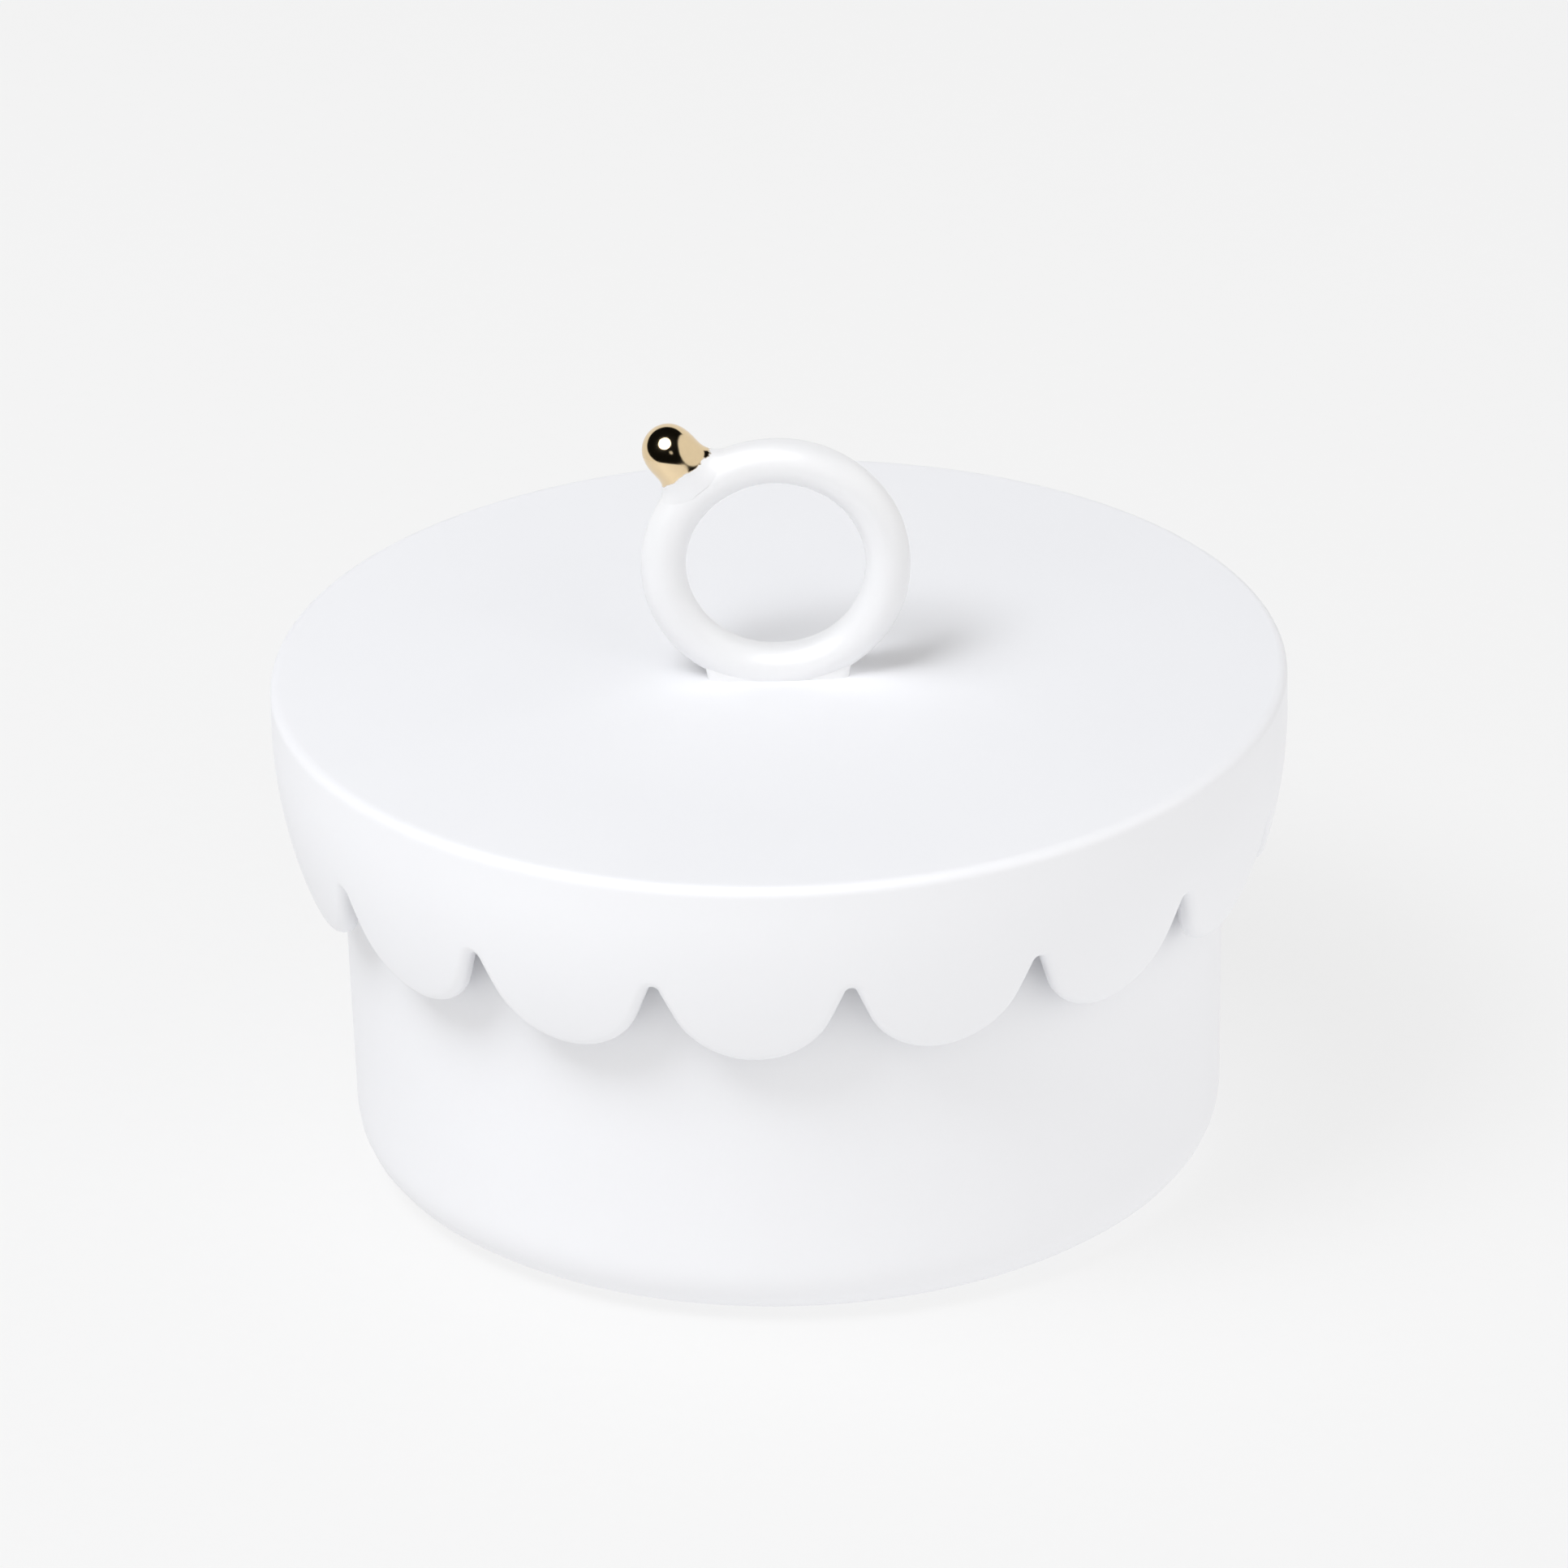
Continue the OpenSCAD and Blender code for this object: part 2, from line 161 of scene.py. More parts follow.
class HandleSizes(bpy.types.PropertyGroup):
    """Sizes of the ring handle, its foot and its bead."""

    bead_angle: FloatProperty(name="Bead angle", description="Angle of the bead round the ring, from +X",
                              default=math.radians(129.4), subtype="ANGLE")
    bead_radius: size("Bead radius", "Radius of the bead's round head", 2.35 * MM)
    bead_out: size("Bead reach", "Distance from the ring's outside to the head's centre", 2.57 * MM)
    bead_blend: size("Bead blend", "How softly the bead's neck runs out into the ring", 3.6 * MM)
    foot_flare: size("Foot flare", "How far the foot's ends reach out under the ring", 1.9 * MM)
    unevenness: size("Unevenness", "How far the rolled ring wanders from true round", 0.06 * MM)


class Finishes(bpy.types.PropertyGroup):
    """Colours of the pieces and of the studio."""

    bisque: tint("Bisque", "Unglazed porcelain", (0.925, 0.93, 0.955))
    glaze: tint("Glaze", "Glazed porcelain", (0.87, 0.873, 0.885))
    gold: tint("Gold", "Gold lustre on the bead", (0.84, 0.66, 0.41))
    silicone: tint("Silicone", "Pads, seat ring and gasket", (0.74, 0.76, 0.77))
    plastic: tint("Plastic", "Inner cup and lid insert", (0.88, 0.88, 0.865))
    disc: tint("Disc", "Sealing disc", (0.92, 0.92, 0.91))
    foam: tint("Foam", "Liner under the lid", (0.93, 0.93, 0.92))
    floor: tint("Floor", "Studio floor", (0.913, 0.913, 0.913))


class CreamJarSettings(bpy.types.PropertyGroup):
    """Everything that can be set on the jar."""

    jar: PointerProperty(type=JarSizes, name="Jar", description="Sizes of the jar")
    cup: PointerProperty(type=CupSizes, name="Cup", description="Sizes of the cup and disc")
    lid: PointerProperty(type=LidSizes, name="Lid", description="Sizes of the lid")
    handle: PointerProperty(type=HandleSizes, name="Handle", description="Sizes of the handle")
    finish: PointerProperty(type=Finishes, name="Finishes", description="Colours")


# Shapes


def turned_box(node):
    """Outer radius, lowest z and highest z of a turned CAD node."""
    low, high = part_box(node)
    return (high.x - low.x) / 2, low.z, high.z


def rounded_outline(corners, closed=False):
    """An outline through corners (radius, z, rounding), each corner replaced by an arc.

    With unit vectors a and b from a corner P to its neighbours and h half the angle between them,
    the arc of radius q starts at P + a q / tan h, ends at P + b q / tan h and is centred q / sin h
    from P along a + b. Its points are the slerp of those two ends about the centre. Each straight
    has three points of its own, two of them close to its ends, so that shading stays flat on it.
    """
    corner = np.array([c[:2] for c in corners], float)
    rounding = np.array([[c[2]] for c in corners], float)
    back = np.roll(corner, 1, axis=0) - corner
    ahead = np.roll(corner, -1, axis=0) - corner
    back /= np.linalg.norm(back, axis=1, keepdims=True)
    ahead /= np.linalg.norm(ahead, axis=1, keepdims=True)
    half = np.arccos(np.clip((back * ahead).sum(1, keepdims=True), -1, 1)) / 2
    start = corner + back * rounding / np.tan(half)
    end = corner + ahead * rounding / np.tan(half)
    middle = back + ahead
    centre = corner + middle / np.linalg.norm(middle, axis=1, keepdims=True) * rounding / np.sin(half)
    bend = (math.pi - 2 * half)[:, None]
    share = np.linspace(0, 1, CORNER_STEPS)[None, :, None]
    arcs = (np.sin((1 - share) * bend) * (start - centre)[:, None]
            + np.sin(share * bend) * (end - centre)[:, None]) / np.sin(bend) + centre[:, None]
    onward = np.roll(start, -1, axis=0)[:, None]
    straights = end[:, None] + (onward - end[:, None]) * STRAIGHT_SHARES[None, :, None]
    outline = np.concatenate([arcs, straights], axis=1).reshape(-1, 2)
    if closed:
        return outline
    return outline[CORNER_STEPS - 1 : 1 - CORNER_STEPS - len(STRAIGHT_SHARES)]


def turned(outline, columns):
    """The outline carried round the axis: (r cos t, r sin t, z) for t from 0 to a full turn."""
    turn = np.linspace(0, 2 * math.pi, columns, endpoint=False)
    radius, height = outline.T
    return np.stack([np.outer(radius, np.cos(turn)), np.outer(radius, np.sin(turn)),
                     np.outer(height, np.ones(columns))], axis=-1)


def skin(grid, loop=False, start=None, end=None):
    """Vertices and faces of a grid of points that closes round its columns.

    The rows close too if loop is true; otherwise a fan of triangles closes the first row at the
    point start and the last row at the point end. Faces are turned to point outwards, which a
    positive enclosed volume shows: the sum of a . (b x c) / 6 over the triangles.
    """
    rows, columns = grid.shape[:2]
    index = np.arange(rows * columns).reshape(rows, columns)
    index = np.concatenate([index, index[:, :1]], axis=1)
    if loop:
        index = np.concatenate([index, index[:1]], axis=0)
    vertices = [grid.reshape(-1, 3)]
    quads = np.stack([index[:-1, :-1], index[:-1, 1:], index[1:, 1:], index[1:, :-1]], axis=-1)
    quads = quads.reshape(-1, 4)
    fans = []
    for rim, tip in ((index[0][::-1], start), (index[-1], end)):
        if tip is not None:
            tip_index = np.full(len(rim) - 1, rows * columns + len(fans))
            fans.append(np.stack([rim[:-1], rim[1:], tip_index], axis=-1))
            vertices.append(np.reshape(tip, (1, 3)))
    vertices = np.concatenate(vertices)
    triangles = np.concatenate([quads[:, [0, 1, 2]], quads[:, [0, 2, 3]], *fans])
    corners = vertices[triangles]
    volume = np.einsum("ij,ij->", corners[:, 0], np.cross(corners[:, 1], corners[:, 2])) / 6
    faces = quads.tolist() + [f for fan in fans for f in fan.tolist()]
    if volume < 0:
        faces = [f[::-1] for f in faces]
    return vertices, faces


def turned_skin(corners, columns, uneven=None):
    """Skin of a solid turned from corners (radius, z, rounding) that start and end on the axis."""
    outline = rounded_outline(corners)
    grid = turned(outline[1:-1], columns)
    if uneven:
        grid = uneven(grid)
    ends = [(0, 0, outline[i, 1]) for i in (0, -1)]
    return skin(grid, start=ends[0], end=ends[1])


def wander(turn, height, seed):
    """A smooth random offset from -1 to 1 on a turned surface.

    It is the mean of cos(n t + m z / 12 mm + p) over a few random whole n from 2 to 7, random m
    from -1 to 1 and random phases p.
    """
    draw = np.random.default_rng(seed)
    waves = zip(draw.integers(2, 8, 6), draw.uniform(-1, 1, 6), draw.uniform(0, 2 * math.pi, 6))
    return sum(np.cos(n * turn + m * height / (12 * MM) + p) for n, m, p in waves) / 6


def hand_made(amount, seed):
    """A function that pushes a turned grid in and out by amount times wander()."""
    def uneven(grid):
        turn = np.arctan2(grid[..., 1], grid[..., 0])
        radius = np.hypot(grid[..., 0], grid[..., 1])
        push = 1 + amount * wander(turn, grid[..., 2], seed) / np.maximum(radius, 5 * MM)
        return grid * np.stack([push, push, np.ones_like(push)], axis=-1)
    return uneven


def join_skins(skins):
    """One list of vertices and one of faces from several skins."""
    starts = np.cumsum([0] + [len(vertices) for vertices, _ in skins])
    faces = [[start + v for v in face] for start, (_, part) in zip(starts, skins) for face in part]
    return np.concatenate([vertices for vertices, _ in skins]), faces


def add_piece(name, shape, material, body, node):
    """Makes the mesh object, gives it its material and ties it to the frame."""
    vertices, faces = shape
    mesh = bpy.data.meshes.new(name)
    mesh.from_pydata(vertices.tolist(), [], faces)
    mesh.polygons.foreach_set("use_smooth", np.ones(len(mesh.polygons), bool))
    mesh.materials.append(material)
    mesh.validate()
    mesh.update()
    piece = bpy.data.objects.new(name, mesh)
    bpy.context.collection.objects.link(piece)
    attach(piece, body)
    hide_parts(node)
    return piece


# The jar


def jar_shape(jar):
    """Rounded base with a foot ring, a side that widens to the rim, and a groove for the seat ring."""
    rim, low, top = turned_box("jar_body")
    seat, seat_low, _ = turned_box("cup_seat_ring")
    base = rim - jar.taper
    inside = rim - jar.wall
    foot = base - jar.base_round - jar.foot_width
    groove = (seat - jar.seat_width - jar.seat_gap, seat + jar.seat_gap)
    corners = [
        (0, low + jar.foot_hollow, 0),
        (foot, low + jar.foot_hollow, 0.8 * MM),
        (foot, low, 0.35 * MM),
        (base, low, jar.base_round),
        (rim, top, jar.rim_round),
        (groove[1], top, 0.12 * MM),
        (groove[1], seat_low, 0.1 * MM),
        (groove[0], seat_low, 0.1 * MM),
        (groove[0], top, 0.12 * MM),
        (inside, top, 0.45 * MM),
        (inside, low + jar.floor, jar.inside_round),
        (0, low + jar.floor, 0),
    ]
    return turned_skin(corners, JAR_COLUMNS, hand_made(jar.unevenness, seed=11))


def pads_shape(jar):
    """Round pads, their lower edges rounded, set evenly round the foot ring."""
    rim, _, _ = turned_box("jar_body")
    low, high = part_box("foot_pads")
    circle = rim - jar.taper - jar.base_round - jar.foot_width / 2
    corners = [
        (0, low.z, 0),
        (jar.pad_radius, low.z, 0.3 * MM),
        (jar.pad_radius, high.z, 0.1 * MM),
        (0, high.z, 0),
    ]
    vertices, faces = turned_skin(corners, PAD_COLUMNS)
    turns = [math.pi / 2 + i * 2 * math.pi / jar.pad_count for i in range(jar.pad_count)]
    places = [np.array([circle * math.cos(t), circle * math.sin(t), 0]) for t in turns]
    return join_skins([(vertices + place, faces) for place in places])


def seat_ring_shape(jar):
    """A silicone band with a domed top."""
    outer, low, top = turned_box("cup_seat_ring")
    inner = outer - jar.seat_width
    corners = [
        (inner, low, 0.1 * MM),
        (outer, low, 0.1 * MM),
        (outer, top, 0.5 * MM),
        (inner, top, 0.5 * MM),
    ]
    return skin(turned(rounded_outline(corners, closed=True), JAR_COLUMNS), loop=True)


# The cup and its disc


def cup_radii(jar, cup):
    """Radii of the mouth inside, of the body at the ledge and of the body at its floor."""
    rim, _, _ = turned_box("jar_body")
    mouth = rim - jar.wall - cup.gap - cup.wall
    return mouth, mouth - cup.ledge, mouth - cup.ledge - cup.draft


def cup_shape(jar, cup):
    """A moulded cup: flange, wide mouth, ledge and a drafted body with a rounded floor."""
    flange, low, top = turned_box("inner_cup")
    mouth, body, floor = cup_radii(jar, cup)
    ledge = top - cup.mouth_depth
    shoulder = ledge - cup.wall
    outer_round = cup.inside_round + cup.wall
    corners = [
        (0, low, 0),
        (floor + cup.wall, low, outer_round),
        (body + cup.wall, shoulder, 0.4 * MM),
        (mouth + cup.wall, shoulder, 0.5 * MM),
        (mouth + cup.wall, top - cup.flange, 0.25 * MM),
        (flange, top - cup.flange, 0.48 * cup.flange),
        (flange, top, 0.48 * cup.flange),
        (mouth, top, 0.5 * MM),
        (mouth, ledge, 0.25 * MM),
        (body, ledge, 0.3 * MM),
        (floor, low + cup.wall, cup.inside_round),
        (0, low + cup.wall, 0),
    ]
    return turned_skin(corners, PLASTIC_COLUMNS)


def disc_shape(jar, cup):
    """A thin disc with a centring ring below and a rounded lift tab above.

    The tab is the superellipse (y / w)^4 + (z / h)^4 = 1 carried along x. With s from -1 to 1 along
    it, its height is h (1 - 0.35 s^2 - 0.35 s^8) and its half width w sqrt(1 - s^8).
    """
    rim, low, tab_top = turned_box("sealing_disc")
    face = low + cup.spigot + cup.disc
    ledge = low + cup.spigot + HAIRLINE
    _, body, _ = cup_radii(jar, cup)
    spigot = body - cup.disc_gap
    corners = [
        (0, ledge, 0),
        (spigot - cup.spigot_wall, ledge, 0.2 * MM),
        (spigot - cup.spigot_wall, low, 0.2 * MM),
        (spigot, low, 0.35 * MM),
        (spigot, ledge, 0.2 * MM),
        (rim, ledge, 0.25 * MM),
        (rim, face, 0.25 * MM),
        (0, face, 0),
    ]
    along = np.sin(np.linspace(-1, 1, TAB_ROWS) * math.pi / 2)[:, None] * TAB_END
    around = np.linspace(0, 2 * math.pi, TAB_COLUMNS, endpoint=False)[None]
    height = (tab_top - face) * (1 - 0.35 * along**2 - 0.35 * along**8)
    width = cup.tab_thickness / 2 * (1 - along**8) ** 0.5
    x = along * cup.tab_length / 2 + 0 * around
    y = width * np.sign(np.cos(around)) * np.abs(np.cos(around)) ** 0.5
    up = np.sign(np.sin(around)) * np.abs(np.sin(around)) ** 0.5
    z = face + np.where(up > 0, height, cup.disc / 2) * up
    tab = np.stack([x, y, z], axis=-1)
    tab_skin = skin(tab, start=tab[0].mean(0), end=tab[-1].mean(0))
    return join_skins([turned_skin(corners, PLASTIC_COLUMNS), tab_skin])


# The lid


def scallop_edge(lid, half_pitch, low):
    """Outline of half a notch, from its tip to the end of the scallop beside it, and its normals.

    Seen from outside, x runs along the skirt and z up. The tip is an arc about (0, tip z), the
    scallop is an arc about (half pitch, low + r), and the flank is the straight line that touches
    both; it leans so that both arcs' radii to it have the same direction. Normals point into the
    porcelain.
    """
    scallop = half_pitch - lid.notch_flare
    scallop_z = low + scallop
    tip_z = low + lid.notch - lid.notch_tip
    rise = scallop_z - tip_z
    apart = math.hypot(half_pitch, rise)
    lean = math.atan2(rise, half_pitch) + math.acos((scallop + lid.notch_tip) / apart)
    tip_angle = np.linspace(math.pi / 2, lean, TIP_STEPS)
    arc_angle = np.linspace(lean, math.pi / 2, SCALLOP_STEPS)
    tip_way = np.stack([np.cos(tip_angle), np.sin(tip_angle)], axis=-1)
    arc_way = np.stack([np.cos(arc_angle), np.sin(arc_angle)], axis=-1)
    tip = np.array([0, tip_z]) + lid.notch_tip * tip_way
    arc = np.array([half_pitch, scallop_z]) - scallop * arc_way
    share = np.linspace(0, 1, FLANK_STEPS)[1:-1, None]
    flank = tip[-1] + (arc[0] - tip[-1]) * share
    edge = np.concatenate([tip, flank, arc])
    way = np.concatenate([tip_way, np.repeat(tip_way[-1:], len(flank), axis=0), arc_way])
    return edge, way


def lid_shape(lid):
    """The lid as columns of points that run from the middle of the top over the edge, down the
    skirt, round the lip and up inside to the middle of the plate's underside.

    A column is (r sin A, -r cos A, z). A is the notch's own turn plus half a pitch times x over
    the half pitch, where x is the column's place in the scallop's outline. The skirt's radius is
    R(z) = c + sqrt(q^2 - (plate z - z)^2). The lip goes round the wall's thickness: at the angle a
    it is inset from the outline by lip (1 - sin a) and lies lip (1 - cos a) behind the face.
    """
    rim, low, top = turned_box("lid_shell")
    plate = top - lid.plate
    insert_radius = turned_box("lid_insert")[0]
    curve_centre = rim - lid.skirt_curve
    half_turn = math.pi / lid.scallops

    def face_radius(z):
        return curve_centre + np.sqrt(lid.skirt_curve**2 - np.clip(plate - z, 0, None) ** 2)

    half_pitch = float(face_radius(np.array(low))) * math.sin(half_turn)
    edge, way = scallop_edge(lid, half_pitch, low)
    mirrored = np.array([-1, 1])
    edge = np.concatenate([edge[:0:-1] * mirrored, edge[:-1]])
    way = np.concatenate([way[:0:-1] * mirrored, way[:-1]])
    edge, way = np.tile(edge, (lid.scallops, 1)), np.tile(way, (lid.scallops, 1))
    notch = np.repeat(np.arange(lid.scallops), len(edge) // lid.scallops) * 2 * half_turn + lid.turn

    def column_turn(x):
        return notch + x / half_pitch * half_turn

    inset = edge + way * lid.lip
    upright = column_turn(inset[:, 0])
    rows = []

    def add_rows(radius, z, turn=upright):
        radius, z, turn = np.broadcast_arrays(radius, z, np.atleast_2d(turn))
        rows.append(np.stack([radius * np.sin(turn), -radius * np.cos(turn), z], axis=-1))

    fillet = np.linspace(0, math.pi / 2, FILLET_STEPS)[:, None]
    add_rows(TOP_RINGS * (rim - lid.edge), top)
    add_rows(rim - lid.edge * (1 - np.sin(fillet)), top - lid.edge * (1 - np.cos(fillet)))
    add_rows(rim, np.linspace(top - 1.2 * lid.edge, plate, 4)[:, None])
    fall = np.linspace(0, 1, SKIRT_OUTSIDE_STEPS)[1:-1, None]
    outer_z = plate + (inset[:, 1] - plate) * fall
    add_rows(face_radius(outer_z), outer_z)
    lip_angles = np.linspace(0, math.pi / 2, LIP_STEPS)
    lip_outer = [(a, lid.lip * (1 - math.cos(a))) for a in lip_angles]
    lip_inner = [(a, lid.skirt - behind) for a, behind in lip_outer[::-1]]
    for angle, behind in lip_outer + lip_inner:
        place = edge + way * lid.lip * (1 - math.sin(angle))
        add_rows(face_radius(place[:, 1]) - behind, place[:, 1], column_turn(place[:, 0]))
    corner_z = plate - lid.inside_round
    rise = np.linspace(0, 1, SKIRT_INSIDE_STEPS)[1:-1, None]
    inner_z = inset[:, 1] + (corner_z - inset[:, 1]) * rise
    add_rows(face_radius(inner_z) - lid.skirt, inner_z)
    corner = float(face_radius(np.array(corner_z))) - lid.skirt - lid.inside_round
    round_out, round_up = lid.inside_round * np.cos(fillet), lid.inside_round * np.sin(fillet)
    add_rows(corner + round_out, corner_z + round_up)
    recess_wall = insert_radius + lid.fit
    underside = np.array([
        (recess_wall + 0.15 * MM, 0),
        (recess_wall, 0.1 * MM),
        (recess_wall, lid.recess - 0.05 * MM),
        (recess_wall - 0.1 * MM, lid.recess),
        (0.6 * recess_wall, lid.recess),
        (0.15 * recess_wall, lid.recess),
    ])
    add_rows(underside[:, :1], plate + underside[:, 1:])
    grid = np.concatenate(rows)
    turn = np.arctan2(grid[..., 0], -grid[..., 1])
    hang = np.clip((plate - grid[..., 2]) / (plate - low), 0, 1)
    radius = np.hypot(grid[..., 0], grid[..., 1])
    sway = lid.unevenness * wander(turn, grid[..., 2], seed=23) * (0.3 + hang)
    grid[..., :2] *= (1 + sway / np.maximum(radius, rim / 2))[..., None]
    grid[..., 2] += lid.unevenness * hang * 1.3 * wander(turn, 0 * turn, seed=5)
    return skin(grid, start=(0, 0, top), end=(0, 0, plate + lid.recess))


def insert_shape(jar, cup, lid):
    """The plastic disc under the plate with its plug, which has a groove for the gasket."""
    rim, low, top = turned_box("lid_insert")
    disc_low = top - lid.insert
    plug = cup_radii(jar, cup)[0] - lid.plug_gap
    middle = (low + disc_low) / 2
    groove = (middle - lid.groove_height / 2, middle + lid.groove_height / 2)
    corners = [
        (0, top, 0),
        (rim, top, 0.25 * MM),
        (rim, disc_low, 0.35 * MM),
        (plug, disc_low, 0.3 * MM),
        (plug, groove[1], 0.1 * MM),
        (plug - lid.groove, groove[1], 0.1 * MM),
        (plug - lid.groove, groove[0], 0.1 * MM),
        (plug, groove[0], 0.1 * MM),
        (plug, low, 0.4 * MM),
        (plug - lid.plug_wall, low, 0.4 * MM),
        (plug - lid.plug_wall, disc_low, 0.3 * MM),
        (0, disc_low, 0),
    ]
    return turned_skin(corners, PLASTIC_COLUMNS)


def gasket_shape(lid):
    """A silicone band with two soft lips towards the cup.

    Its outer face is r = R - 0.12 w (1 + cos(4 pi s)) for s from 0 to 1 up the face.
    """
    outer, low, top = turned_box("lid_gasket")
    inner = outer - (lid.groove + lid.plug_gap - 2 * lid.gasket_gap)
    width, height = outer - inner, top - low
    share = np.linspace(0, 1, GASKET_STEPS)
    face = np.stack([outer - 0.12 * width * (1 - np.cos(4 * math.pi * (share - 0.25))),
                     low + height * (0.08 + 0.84 * share)], axis=-1)
    back = np.array([(inner + 0.5 * width, top), (inner + 0.1 * width, top), (inner, top - 0.08 * height),
                     (inner, low + 0.08 * height), (inner + 0.1 * width, low), (inner + 0.5 * width, low)])
    return skin(turned(np.concatenate([face, back]), PLASTIC_COLUMNS), loop=True)


def liner_shape():
    """A foam disc with soft edges."""
    rim, low, top = turned_box("lid_liner")
    corners = [(0, low, 0), (rim, low, 0.45 * MM), (rim, top, 0.2 * MM), (0, top, 0)]
    return turned_skin(corners, PLASTIC_COLUMNS)


# The handle


def ring_place():
    """Centre of the ring handle, its radius along the tube's middle and the tube's radius."""
    low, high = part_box("ring_handle")
    tube = (high.y - low.y) / 2
    return np.array((low + high) / 2), (high.x - low.x) / 2 - tube, tube


def coil(handle, a, b):
    """The ring's radius and its tube's radius at the angles a round the ring and b round the tube.

    Both wander a little from the frame's: the tube's by the first wander plus 0.4 of the second.
    """
    _, radius, tube = ring_place()
    swell = wander(a, 0 * a, seed=31) + 0.4 * wander(a + b, 0 * a, seed=8)
    radius = radius + 0.5 * handle.unevenness * wander(a, 0 * a, seed=2)
    return radius, tube + handle.unevenness * (swell - 0.1)


def above_ring(handle, points):
    """How far each point stands off the ring's skin, less than zero inside it.

    It is sqrt((sqrt(x^2 + z^2) - R)^2 + y^2) - q, from the ring's centre.
    """
    centre, middle, _ = ring_place()
    x, y, z = np.moveaxis(points - centre, -1, 0)
    outwards = np.hypot(x, z)
    radius, tube = coil(handle, np.arctan2(z, x), np.arctan2(y, outwards - middle))
    return np.hypot(outwards - radius, y) - tube


def ring_shape(handle):
    """A torus whose tube swells and thins a little, as a rolled coil of clay does.

    With a round the ring and b round the tube, a point is C + (R + q cos b) (cos a, 0, sin a)
    + (0, q sin b, 0), and q is the tube's radius plus a small wander.
    """
    centre, _, _ = ring_place()
    a = np.linspace(0, 2 * math.pi, RING_ROWS, endpoint=False)[:, None]
    b = np.linspace(0, 2 * math.pi, RING_COLUMNS, endpoint=False)[None]
    radius, tube = coil(handle, a, b)
    reach = radius + tube * np.cos(b)
    grid = np.stack([reach * np.cos(a), tube * np.sin(b), reach * np.sin(a)], axis=-1)
    return skin(grid + centre, loop=True)


def foot_shape(handle):
    """The low foot that carries the ring.

    Its plan is the superellipse |x / l|^6 + |y / w|^6 = 1. Each upright line is the curve
    (1 - v)^2 B + 2 v (1 - v) C + v^2 T: it starts at B on the lid, and T lies inside the ring's
    tube. At the ends C stands straight above B, so the ends are hollow under the ring. Widths are
    shares of the box's half width, and T's height and width are shares of the tube's radius.
    """
    centre, _, tube = ring_place()
    low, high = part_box("handle_foot")
    lid_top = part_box("lid_shell")[1].z
    length, width = (high.x - low.x) / 2, (high.y - low.y) / 2
    turn = np.linspace(0, 2 * math.pi, FOOT_COLUMNS, endpoint=False)[None]
    cos, sin = np.cos(turn), np.sin(turn)
    plan = (np.abs(cos) ** 6 + np.abs(sin) ** 6) ** (-1 / 6)
    x, y = plan * cos, plan * sin
    endwards = np.abs(x) ** 12
    base = np.stack([length * x, 0.76 * width * y, 0 * x + lid_top - 0.15 * MM], axis=-1)
    knee_z = lid_top + 0.45 * MM + endwards * 1.35 * MM
    knee = np.stack([length * x * 0.99, 0.72 * width * y, knee_z], axis=-1)
    crown_x = (length + handle.foot_flare) * x
    crown_y = 0.72 * tube * y * (1 - 0.3 * x**2)
    crown_z = lid_top + 0.8 * tube + 0.6 * tube * x**2
    crown = np.stack([crown_x, crown_y, crown_z], axis=-1)
    v = np.linspace(0, 1, FOOT_ROWS)[:, None, None]
    grid = (1 - v) ** 2 * base + 2 * v * (1 - v) * knee + v**2 * crown
    grid[..., 1] += centre[1]
    grid[..., 0] += centre[0]
    return skin(grid, start=grid[0].mean(0), end=grid[-1].mean(0))


def bead_axes(handle):
    """The bead's own axes: outwards from the ring, along the ring and across it, and its centre."""
    centre, radius, tube = ring_place()
    angle = handle.bead_angle
    out = np.array([math.cos(angle), 0, math.sin(angle)])
    along = np.array([math.sin(angle), 0, -math.cos(angle)])
    return out, along, np.array([0, 1, 0]), centre, radius + tube + handle.bead_out


def bead_shape(handle):
    """A drop of clay pressed on the ring: a round head whose neck runs out smoothly into the tube.

    With d the distance outside the head's sphere and e the distance outside the ring's skin, the
    surface is where min(d, e) - k h^2 / 4 = 0, with h = max(0, 1 - |d - e| / k) and k the blend.
    It is found along straight lines that start on the bead's axis and lean down more and more.
    Away from the head the surface sinks a little, so that it runs under the ring's skin.
    """
    out, along, across, centre, head_out = bead_axes(handle)
    middle = centre + out * head_out
    share = np.linspace(0, 1, BEAD_ROWS)[1:, None, None]
    turn = np.linspace(0, 2 * math.pi, BEAD_COLUMNS, endpoint=False)[None, :, None]
    lean = LAST_LEAN * share
    way = out * np.cos(lean) + (along * np.cos(turn) + across * np.sin(turn)) * np.sin(lean)
    down = np.clip(share / 0.55 - 0.82, 0, 1) ** 1.5
    start = middle - out * (handle.bead_out + 1.2 * MM) * down

    def inside(reach):
        points = start + way * reach[..., None]
        off_head = np.linalg.norm(points - middle, axis=-1) - handle.bead_radius
        off_ring = above_ring(handle, points)
        h = np.maximum(0, 1 - np.abs(off_head - off_ring) / handle.bead_blend)
        sink = 0.02 * MM + 0.05 * np.maximum(0, off_head - 1.2 * MM)
        return np.minimum(off_head, off_ring) - handle.bead_blend * h**2 / 4 < -sink

    reach = np.full(way.shape[:2], 0.2 * MM)
    going = np.ones(reach.shape, bool)
    for _ in range(BEAD_STRIDES):
        going &= inside(reach + BEAD_STRIDE)
        reach = np.where(going, reach + BEAD_STRIDE, reach)
    for halving in range(1, 10):
        step = BEAD_STRIDE / 2**halving
        reach = np.where(inside(reach + step), reach + step, reach)
    grid = start + way * reach[..., None]
    return skin(grid, start=middle + out * reach[0].mean(), end=grid[-1].mean(0))


# Finishes


